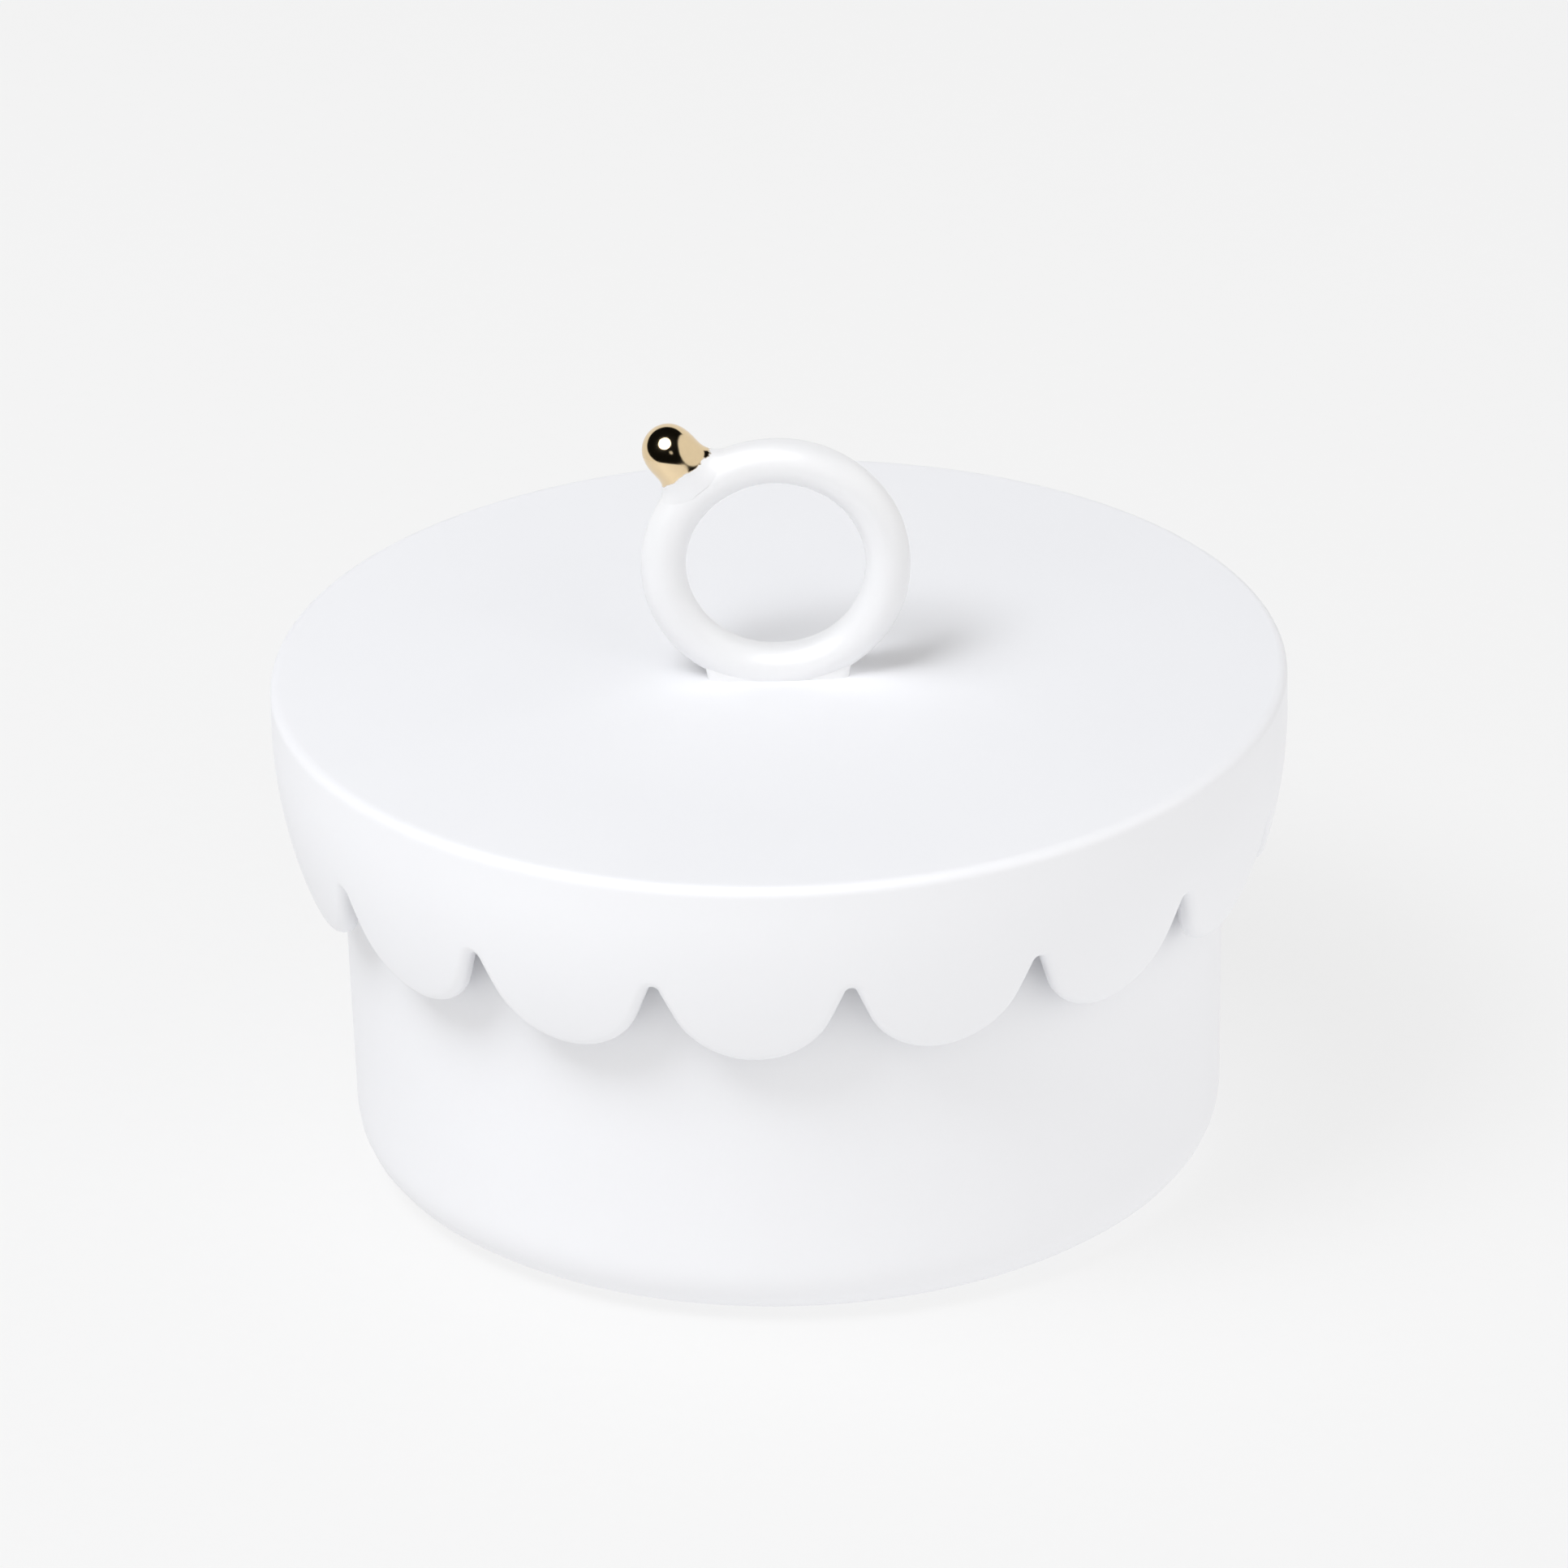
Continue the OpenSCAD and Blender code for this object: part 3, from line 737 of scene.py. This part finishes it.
class Nodes:
    """Short ways to add and join the nodes of a tree."""

    def __init__(self, tree):
        self.tree = tree

    def add(self, kind, **settings):
        node = self.tree.nodes.new(kind)
        for key, value in settings.items():
            setattr(node, key, value)
        return node

    def link(self, out, into):
        self.tree.links.new(out, into)

    def math(self, operation, a, b=0.0, clamp=False):
        node = self.add("ShaderNodeMath", operation=operation, use_clamp=clamp)
        for value, socket in zip((a, b), node.inputs):
            if isinstance(value, (int, float)):
                socket.default_value = value
            else:
                self.link(value, socket)
        return node.outputs[0]

    def between(self, share, low, high, start=0.0, end=1.0):
        """Runs from low to high as share goes from start to end."""
        node = self.add("ShaderNodeMapRange")
        self.link(share, node.inputs["Value"])
        for name, value in (("From Min", start), ("From Max", end), ("To Min", low), ("To Max", high)):
            node.inputs[name].default_value = value
        return node.outputs["Result"]

    def mix(self, share, a, b):
        """A colour from a to b, each a socket or three numbers."""
        node = self.add("ShaderNodeMix", data_type="RGBA")
        self.link(share, node.inputs[0])
        for value, index in ((a, MIX_A), (b, MIX_B)):
            if hasattr(value, "is_linked"):
                self.link(value, node.inputs[index])
            else:
                node.inputs[index].default_value = (*value, 1)
        return node.outputs[MIX_RESULT]


class Finish(Nodes):
    """A new material and short ways to give it its pattern."""

    def __init__(self, name, colour):
        self.material = bpy.data.materials.new(name)
        self.material.use_nodes = True
        super().__init__(self.material.node_tree)
        self.shader = self.tree.nodes["Principled BSDF"]
        self.place = self.add("ShaderNodeTexCoord").outputs["Object"]
        self.shader.inputs["Base Color"].default_value = (*colour, 1)
        self.material.diffuse_color = (*colour, 1)

    def set(self, **values):
        """Sets plain numbers on the shader's own sockets, whose names have spaces for underscores."""
        for key, value in values.items():
            self.shader.inputs[key.replace("_", " ")].default_value = value

    def noise(self, feature, detail=3.0, roughness=0.55, place=None):
        """Noise whose features are about this many metres across; the output runs from 0 to 1."""
        node = self.add("ShaderNodeTexNoise")
        node.inputs["Scale"].default_value = 1 / feature
        node.inputs["Detail"].default_value = detail
        node.inputs["Roughness"].default_value = roughness
        self.link(place or self.place, node.inputs["Vector"])
        return node.outputs["Fac"]

    def bump(self, height, depth, strength=1.0, below=None):
        """Raises the surface by up to depth metres where height is 1."""
        node = self.add("ShaderNodeBump")
        node.inputs["Distance"].default_value = depth
        node.inputs["Strength"].default_value = strength
        self.link(height, node.inputs["Height"])
        if below:
            self.link(below, node.inputs["Normal"])
        self.link(node.outputs["Normal"], self.shader.inputs["Normal"])
        return node.outputs["Normal"]


GLOSSY_PLASTIC, SATIN_PLASTIC = 0.28, 0.42  # mean roughness


def shaded(colour, factor):
    """The colour made lighter or darker."""
    return tuple(min(1.0, c * factor) for c in colour)


def bisque_porcelain(name, colour):
    """Unglazed porcelain: almost matt, with a fine tooth and faint clouds."""
    f = Finish(name, colour)
    clouds = f.noise(18 * MM, detail=2.0)
    specks = f.noise(0.5 * MM, detail=4.0)
    cloudy = f.mix(clouds, shaded(colour, 0.985), shaded(colour, 1.01))
    f.link(f.mix(f.between(specks, 0.0, 0.25), cloudy, shaded(colour, 0.97)), f.shader.inputs["Base Color"])
    f.link(f.between(f.noise(7 * MM), 0.42, 0.58), f.shader.inputs["Roughness"])
    tooth = f.bump(f.noise(0.22 * MM, detail=5.0, roughness=0.65), 0.012 * MM, 0.7)
    f.bump(f.noise(4 * MM, detail=1.0), 0.03 * MM, 0.5, below=tooth)
    f.set(Specular_IOR_Level=0.45, IOR=1.5)
    return f.material


def clear_glaze(name, colour):
    """White porcelain under a clear glaze with slight ripples and a few pin holes."""
    f = Finish(name, colour)
    clouds = f.noise(6 * MM, detail=2.0)
    f.link(f.mix(clouds, shaded(colour, 0.985), shaded(colour, 1.01)), f.shader.inputs["Base Color"])
    f.link(f.between(f.noise(2 * MM), 0.26, 0.38), f.shader.inputs["Roughness"])
    ripple = f.bump(f.noise(2.4 * MM, detail=1.5), 0.06 * MM, 0.6)
    pits = f.add("ShaderNodeTexVoronoi")
    pits.inputs["Scale"].default_value = 1 / (1.6 * MM)
    f.link(f.place, pits.inputs["Vector"])
    pit = f.math("LESS_THAN", pits.outputs["Distance"], 0.035)
    f.bump(f.math("SUBTRACT", 1.0, pit), 0.03 * MM, 0.4, below=ripple)
    f.set(Coat_Weight=0.2, Coat_Roughness=0.22, Coat_IOR=1.45, Specular_IOR_Level=0.4)
    return f.material


def gold_lustre(name, gold, glaze, handle):
    """Gold lustre brushed over the glazed bead, with a ragged edge towards the ring.

    In millimetres from the head's centre, z runs towards the ring and x along it, downwards. The
    gold ends where z = 2.05 + 0.04 x^2 - 0.02 x plus noise, and white glaze shows beyond. The gold
    is glossier than the glaze, and stands a little proud of it.
    """
    f = Finish(name, gold)
    out, _, _, centre, head_out = bead_axes(handle)
    place = f.add("ShaderNodeMapping", vector_type="TEXTURE")
    place.inputs["Location"].default_value = tuple(centre + out * head_out)
    place.inputs["Rotation"].default_value = (0, math.pi / 2 - handle.bead_angle + math.pi, 0)
    place.inputs["Scale"].default_value = (MM, MM, MM)
    f.link(f.place, place.inputs["Vector"])
    axes = f.add("ShaderNodeSeparateXYZ")
    f.link(place.outputs["Vector"], axes.inputs["Vector"])
    x, z = axes.outputs["X"], axes.outputs["Z"]
    curve = f.math("MULTIPLY", f.math("MULTIPLY", x, x), 0.04)
    tilt = f.math("MULTIPLY", x, -0.02)
    edge = f.math("ADD", f.math("ADD", curve, tilt), 2.05)
    rag = f.between(f.noise(1.9 * MM, detail=3.0), -0.7, 0.7)
    left = f.math("SUBTRACT", f.math("ADD", edge, rag), z)
    gilt = f.math("ADD", f.math("MULTIPLY", left, 9.0), 0.5, clamp=True)
    brushed = f.mix(f.noise(0.9 * MM, detail=3.0), shaded(gold, 0.93), shaded(gold, 1.04))
    f.link(f.mix(gilt, glaze, brushed), f.shader.inputs["Base Color"])
    f.link(gilt, f.shader.inputs["Metallic"])
    polish = f.math("MULTIPLY", gilt, f.between(f.noise(1.1 * MM, detail=4.0), 0.27, 0.16))
    f.link(f.math("SUBTRACT", 0.32, polish), f.shader.inputs["Roughness"])
    ripple = f.bump(f.noise(1.6 * MM, detail=1.5), 0.03 * MM, 0.5)
    f.bump(gilt, 0.015 * MM, 0.6, below=ripple)
    f.set(Coat_Weight=0.1, Coat_Roughness=0.15)
    return f.material


def soft_silicone(name, colour):
    """Milky silicone: satin, with a faint bloom and moulding grain."""
    f = Finish(name, colour)
    bloom = f.noise(3 * MM, detail=4.0)
    f.link(f.mix(bloom, shaded(colour, 0.94), shaded(colour, 1.05)), f.shader.inputs["Base Color"])
    f.link(f.between(bloom, 0.34, 0.5), f.shader.inputs["Roughness"])
    f.bump(f.noise(0.3 * MM, detail=2.0), 0.01 * MM, 0.6)
    f.set(Subsurface_Weight=0.15, Subsurface_Scale=1 * MM, Sheen_Weight=0.1)
    return f.material


def moulded_plastic(name, colour, gloss):
    """Moulded plastic: faint flow rings about the gate at its centre, orange peel, fine scuffs."""
    f = Finish(name, colour)
    flow = f.add("ShaderNodeTexWave", wave_type="RINGS", rings_direction="Z")
    flow.inputs["Scale"].default_value = 60
    flow.inputs["Distortion"].default_value = 1.5
    f.link(f.place, flow.inputs["Vector"])
    cloudy = f.mix(f.noise(12 * MM), shaded(colour, 0.985), shaded(colour, 1.01))
    flowed = f.mix(f.between(flow.outputs["Fac"], 0, 0.2), cloudy, shaded(colour, 0.97))
    f.link(flowed, f.shader.inputs["Base Color"])
    scuffs = f.add("ShaderNodeMapping")
    scuffs.inputs["Scale"].default_value = (1, 6, 1)
    f.link(f.place, scuffs.inputs["Vector"])
    worn = f.noise(1.5 * MM, detail=5.0, place=scuffs.outputs["Vector"])
    f.link(f.between(worn, gloss - 0.06, gloss + 0.1), f.shader.inputs["Roughness"])
    peel = f.bump(f.noise(0.7 * MM, detail=1.0), 0.008 * MM, 0.5)
    f.bump(flow.outputs["Fac"], 0.006 * MM, 0.5, below=peel)
    f.set(Subsurface_Weight=0.12, Subsurface_Scale=1.5 * MM, IOR=1.49)
    return f.material


def closed_foam(name, colour):
    """Closed-cell foam: small round cells under a matt skin, with painted shade in the dents between them.
    """
    f = Finish(name, colour)
    cells = f.add("ShaderNodeTexVoronoi", feature="SMOOTH_F1")
    cells.inputs["Scale"].default_value = 1 / (0.55 * MM)
    f.link(f.place, cells.inputs["Vector"])
    depth = cells.outputs["Distance"]
    # The colour darkens towards each cell's edge, where the bump sinks in: painted shade in the dents.
    f.link(f.mix(depth, shaded(colour, 1.02), shaded(colour, 0.9)), f.shader.inputs["Base Color"])
    dents = f.bump(f.math("SUBTRACT", 1.0, depth), 0.06 * MM, 0.8)
    f.bump(f.noise(5 * MM), 0.12 * MM, 0.4, below=dents)
    f.set(Roughness=0.85, Sheen_Weight=0.15)
    return f.material


# Operators: one for each piece and one for the studio


class PieceOperator(bpy.types.Operator):
    """Base of the operators that make a piece, each of which has a make()."""

    bl_idname = "cream_jar.piece"
    bl_label = "Piece"
    bl_options = {"REGISTER", "UNDO"}

    def execute(self, context):
        self.make(context.scene.cream_jar)
        return {"FINISHED"}


class MakeJarBody(PieceOperator):
    """Make the porcelain jar"""

    bl_idname = "cream_jar.jar_body"
    bl_label = "Jar"

    def make(self, s):
        finish = bisque_porcelain("Jar bisque", s.finish.bisque)
        add_piece("porcelain_jar", jar_shape(s.jar), finish, "jar", "jar_body")


class MakeFootPads(PieceOperator):
    """Make the silicone pads under the jar"""

    bl_idname = "cream_jar.foot_pads"
    bl_label = "Foot pads"

    def make(self, s):
        finish = soft_silicone("Pad silicone", s.finish.silicone)
        add_piece("silicone_pads", pads_shape(s.jar), finish, "jar", "foot_pads")


class MakeSeatRing(PieceOperator):
    """Make the silicone ring that the cup's flange rests on"""

    bl_idname = "cream_jar.seat_ring"
    bl_label = "Seat ring"

    def make(self, s):
        finish = soft_silicone("Rim silicone", s.finish.silicone)
        shape = seat_ring_shape(s.jar)
        add_piece("silicone_rim_ring", shape, finish, "jar", "cup_seat_ring")


class MakeInnerCup(PieceOperator):
    """Make the inner cup that holds the cream"""

    bl_idname = "cream_jar.inner_cup"
    bl_label = "Inner cup"

    def make(self, s):
        finish = moulded_plastic("Cup plastic", s.finish.plastic, GLOSSY_PLASTIC)
        add_piece("moulded_cup", cup_shape(s.jar, s.cup), finish, "cup", "inner_cup")


class MakeSealingDisc(PieceOperator):
    """Make the sealing disc with its lift tab"""

    bl_idname = "cream_jar.sealing_disc"
    bl_label = "Sealing disc"

    def make(self, s):
        finish = moulded_plastic("Disc plastic", s.finish.disc, SATIN_PLASTIC)
        add_piece("moulded_disc", disc_shape(s.jar, s.cup), finish, "disc", "sealing_disc")


class MakeLidGasket(PieceOperator):
    """Make the gasket round the lid's plug"""

    bl_idname = "cream_jar.lid_gasket"
    bl_label = "Lid gasket"

    def make(self, s):
        finish = soft_silicone("Gasket silicone", s.finish.silicone)
        add_piece("silicone_gasket", gasket_shape(s.lid), finish, "seal", "lid_gasket")


class MakeLidShell(PieceOperator):
    """Make the scalloped porcelain lid"""

    bl_idname = "cream_jar.lid_shell"
    bl_label = "Lid shell"

    def make(self, s):
        finish = bisque_porcelain("Lid bisque", s.finish.bisque)
        add_piece("scalloped_lid", lid_shape(s.lid), finish, "lid", "lid_shell")


class MakeLidInsert(PieceOperator):
    """Make the plastic insert under the lid"""

    bl_idname = "cream_jar.lid_insert"
    bl_label = "Lid insert"

    def make(self, s):
        finish = moulded_plastic("Insert plastic", s.finish.plastic, GLOSSY_PLASTIC)
        shape = insert_shape(s.jar, s.cup, s.lid)
        add_piece("moulded_insert", shape, finish, "lid", "lid_insert")


class MakeLidLiner(PieceOperator):
    """Make the foam liner inside the lid"""

    bl_idname = "cream_jar.lid_liner"
    bl_label = "Lid liner"

    def make(self, s):
        finish = closed_foam("Liner foam", s.finish.foam)
        add_piece("foam_liner", liner_shape(), finish, "lid", "lid_liner")


class MakeRingHandle(PieceOperator):
    """Make the ring handle"""

    bl_idname = "cream_jar.ring_handle"
    bl_label = "Ring handle"

    def make(self, s):
        finish = clear_glaze("Ring glaze", s.finish.glaze)
        add_piece("glazed_ring", ring_shape(s.handle), finish, "lid", "ring_handle")


class MakeHandleFoot(PieceOperator):
    """Make the foot that carries the ring"""

    bl_idname = "cream_jar.handle_foot"
    bl_label = "Handle foot"

    def make(self, s):
        finish = clear_glaze("Foot glaze", s.finish.glaze)
        add_piece("glazed_foot", foot_shape(s.handle), finish, "lid", "handle_foot")


class MakeGildedBead(PieceOperator):
    """Make the bead with its gold lustre"""

    bl_idname = "cream_jar.gilded_bead"
    bl_label = "Gilded bead"

    def make(self, s):
        finish = gold_lustre("Gold lustre", s.finish.gold, s.finish.glaze, s.handle)
        add_piece("lustre_bead", bead_shape(s.handle), finish, "lid", "gilded_bead")


# The studio

CAMERA_RISE = math.radians(26.26)
CAMERA_DISTANCE = 1.2
CAMERA_LENS = 308.5
CAMERA_ROLL = math.radians(-1.4)
CAMERA_CENTRE = Vector((0, 0, 20 * MM))
CAMERA_AIM = Vector((0.25 * MM, 0, 34.35 * MM))

# Round lights: name, degrees to the left of the camera and above the floor, distance, half width in
# degrees, radiance, and whether they light the jar or only show in the gold.
DISC_LIGHTS = [
    ("key_front", 45, 55, 0.9, 12, 5.4, True),
    ("key_left", 60, 62, 0.9, 20, 2.95, True),
    ("softbox", 23, 51, 0.8, 25, 5.0, False),
    ("small_lamp", -10, 14, 0.7, 6, 0.6, False),
]

# Even fills: name, degrees to the left and above the floor, how wide they are in degrees, strength.
DOMES = [
    ("front_fill", 0, 20, 100, 0.92),
    ("right_fill", -70, 15, 100, 1.15),
    ("left_fill", 70, 15, 100, 0.62),
    ("sky_light", 0, 90, 180, 0.2),
]
KEY_TINT = (0.985, 1.0, 1.025)
FILL_TINT = (1.015, 1.0, 0.98)
LIGHTS_MIDDLE = Vector((0, 0, 50 * MM))

# What the gold reflects: a dark half of the room about a direction, cut off by a pale wall on the
# right, and pale elsewhere. The camera sees an even backdrop.
DARK_WAY = (math.radians(20), math.radians(54))
WALL_EDGE = (0.68, 0.62)
PALE_ROOM = (0.86, 0.86, 0.86)
DARK_ROOM = (0.006, 0.006, 0.006)
BACKDROP = (0.913, 0.913, 0.913)

FLOOR_SHADE = 0.22
FLOOR_GLOW = 0.795


def direction(left, rise):
    """A unit vector: left is the angle to the left of -Y, rise the angle above the horizon."""
    return Vector((-math.sin(left) * math.cos(rise), -math.cos(left) * math.cos(rise), math.sin(rise)))


def add_floor(colour):
    """A wide round floor that glows a little, so that shadows on it stay faint."""
    turn = np.linspace(0, 2 * math.pi, FLOOR_COLUMNS, endpoint=False)
    x, y = np.outer(FLOOR_RINGS, np.cos(turn)), np.outer(FLOOR_RINGS, np.sin(turn))
    points = np.stack([x, y, 0 * x], axis=-1)
    index = np.arange(x.size).reshape(x.shape)
    index = np.concatenate([index, index[:, :1]], axis=1)
    quads = np.stack([index[1:, :-1], index[1:, 1:], index[:-1, 1:], index[:-1, :-1]], axis=-1)
    middle = np.stack([index[0, :-1], index[0, 1:], np.full(FLOOR_COLUMNS, x.size)], axis=-1)
    mesh = bpy.data.meshes.new("studio_floor")
    vertices = np.concatenate([points.reshape(-1, 3), np.zeros((1, 3))])
    faces = quads.reshape(-1, 4)[:, ::-1].tolist() + middle.tolist()
    mesh.from_pydata(vertices.tolist(), [], faces)
    f = Finish("Studio paper", shaded(colour, FLOOR_SHADE))
    low, high = shaded(colour, FLOOR_SHADE - 0.005), shaded(colour, FLOOR_SHADE + 0.005)
    f.link(f.mix(f.noise(2 * MM, detail=4.0), low, high), f.shader.inputs["Base Color"])
    f.set(Roughness=0.9, Specular_IOR_Level=0.0)
    f.set(Emission_Color=(*colour, 1), Emission_Strength=FLOOR_GLOW)
    mesh.materials.append(f.material)
    floor = bpy.data.objects.new("studio_floor", mesh)
    bpy.context.collection.objects.link(floor)
    floor.visible_glossy = False


def add_lamp(name, lamp, way):
    """Puts the lamp into the scene, shining from that direction."""
    light = bpy.data.objects.new(name, lamp)
    light.rotation_euler = way.to_track_quat("Z", "Y").to_euler()
    bpy.context.collection.objects.link(light)
    return light


def add_disc_light(name, way, distance, half_width, radiance, lights):
    """A round light at that direction and distance from the jar, facing it.

    Its half width is the angle that it fills as seen from the jar. It lights the pieces if lights
    is true, and otherwise only shows in them. A round area light of radius r that shines with
    radiance L sends out the power L pi^2 r^2.
    """
    lamp = bpy.data.lights.new(name, "AREA")
    lamp.shape = "DISK"
    radius = distance * math.tan(half_width)
    lamp.size = 2 * radius
    lamp.energy = radiance * math.pi**2 * radius**2
    if lights:
        lamp.color = KEY_TINT
    light = add_lamp(name, lamp, way)
    light.location = LIGHTS_MIDDLE + way * distance
    light.visible_diffuse = lights
    light.visible_glossy = not lights
    light.visible_camera = False


def add_dome(name, way, strength, spread):
    """Even light from all round a direction, which leaves no reflection."""
    lamp = bpy.data.lights.new(name, "SUN")
    lamp.energy = strength
    lamp.angle = spread
    lamp.color = FILL_TINT
    add_lamp(name, lamp, way).visible_glossy = False


def add_surroundings():
    """The room that lights the pieces and that the gold reflects, and the backdrop."""
    world = bpy.data.worlds.new("Studio")
    world.use_nodes = True
    world.node_tree.nodes.clear()
    n = Nodes(world.node_tree)
    ray = n.add("ShaderNodeLightPath").outputs
    way = n.add("ShaderNodeTexCoord").outputs["Generated"]
    facing = n.add("ShaderNodeVectorMath", operation="DOT_PRODUCT")
    facing.inputs[1].default_value = direction(*DARK_WAY)
    n.link(way, facing.inputs[0])
    aside = n.add("ShaderNodeSeparateXYZ")
    n.link(way, aside.inputs["Vector"])
    dark_half = n.between(facing.outputs["Value"], 0.0, 1.0, end=0.06)
    off_wall = n.between(aside.outputs["X"], 0.0, 1.0, *WALL_EDGE)
    no_wall = n.math("SUBTRACT", 1, ray["Is Glossy Ray"])
    dark = n.math("MULTIPLY", dark_half, n.math("MAXIMUM", off_wall, no_wall))
    room = n.mix(dark, PALE_ROOM, DARK_ROOM)
    background = n.add("ShaderNodeBackground")
    n.link(n.mix(ray["Is Camera Ray"], room, BACKDROP), background.inputs["Color"])
    n.link(background.outputs[0], n.add("ShaderNodeOutputWorld").inputs["Surface"])
    bpy.context.scene.world = world


def add_camera():
    """A long lens that looks down at the jar from the front."""
    data = bpy.data.cameras.new("studio_camera")
    data.lens = CAMERA_LENS
    data.sensor_width = 36
    data.clip_start = 0.05
    data.clip_end = 20
    camera = bpy.data.objects.new("studio_camera", data)
    eye = CAMERA_CENTRE + direction(0, CAMERA_RISE) * CAMERA_DISTANCE
    forward = (CAMERA_AIM - eye).normalized()
    right = forward.cross(Vector((0, 0, 1))).normalized()
    up = right.cross(forward)
    side = right * math.cos(CAMERA_ROLL) + up * math.sin(CAMERA_ROLL)
    top = up * math.cos(CAMERA_ROLL) - right * math.sin(CAMERA_ROLL)
    camera.matrix_world = Matrix.Translation(eye) @ Matrix((side, top, -forward)).transposed().to_4x4()
    bpy.context.collection.objects.link(camera)
    bpy.context.scene.camera = camera


class MakeStudio(bpy.types.Operator):
    """Make the floor, the lights, the surroundings and the camera"""

    bl_idname = "cream_jar.studio"
    bl_label = "Studio"
    bl_options = {"REGISTER", "UNDO"}

    def execute(self, context):
        add_floor(context.scene.cream_jar.finish.floor)
        for name, left, rise, distance, half_width, radiance, lights in DISC_LIGHTS:
            way = direction(math.radians(left), math.radians(rise))
            add_disc_light(name, way, distance, math.radians(half_width), radiance, lights)
        for name, left, rise, spread, strength in DOMES:
            way = direction(math.radians(left), math.radians(rise))
            add_dome(name, way, strength, math.radians(spread))
        add_surroundings()
        add_camera()
        context.scene.view_settings.view_transform = "Standard"
        return {"FINISHED"}


class CreamJarPanel(bpy.types.Panel):
    """Lists the pieces of the cream jar"""

    bl_idname = "VIEW3D_PT_cream_jar"
    bl_label = "Cream Jar"
    bl_space_type = "VIEW_3D"
    bl_region_type = "UI"
    bl_category = "Cream Jar"

    def draw(self, context):
        settings = context.scene.cream_jar
        for operator in OPERATORS:
            self.layout.operator(operator.bl_idname)
        for group in (settings.jar, settings.cup, settings.lid, settings.handle, settings.finish):
            box = self.layout.box()
            for name in group.__annotations__:
                box.prop(group, name)


OPERATORS = (MakeStudio, MakeJarBody, MakeFootPads, MakeSeatRing, MakeInnerCup, MakeSealingDisc,
             MakeLidGasket, MakeLidShell, MakeLidInsert, MakeLidLiner, MakeRingHandle, MakeHandleFoot,
             MakeGildedBead)
CLASSES = (JarSizes, CupSizes, LidSizes, HandleSizes, Finishes, CreamJarSettings, *OPERATORS, CreamJarPanel)


def register():
    for each in CLASSES:
        bpy.utils.register_class(each)
    bpy.types.Scene.cream_jar = PointerProperty(type=CreamJarSettings)


def unregister():
    del bpy.types.Scene.cream_jar
    for each in reversed(CLASSES):
        bpy.utils.unregister_class(each)


def main():
    register()
    for operator in OPERATORS:
        getattr(bpy.ops.cream_jar, operator.bl_idname.split(".")[1])()


if __name__ == "__main__":
    main()
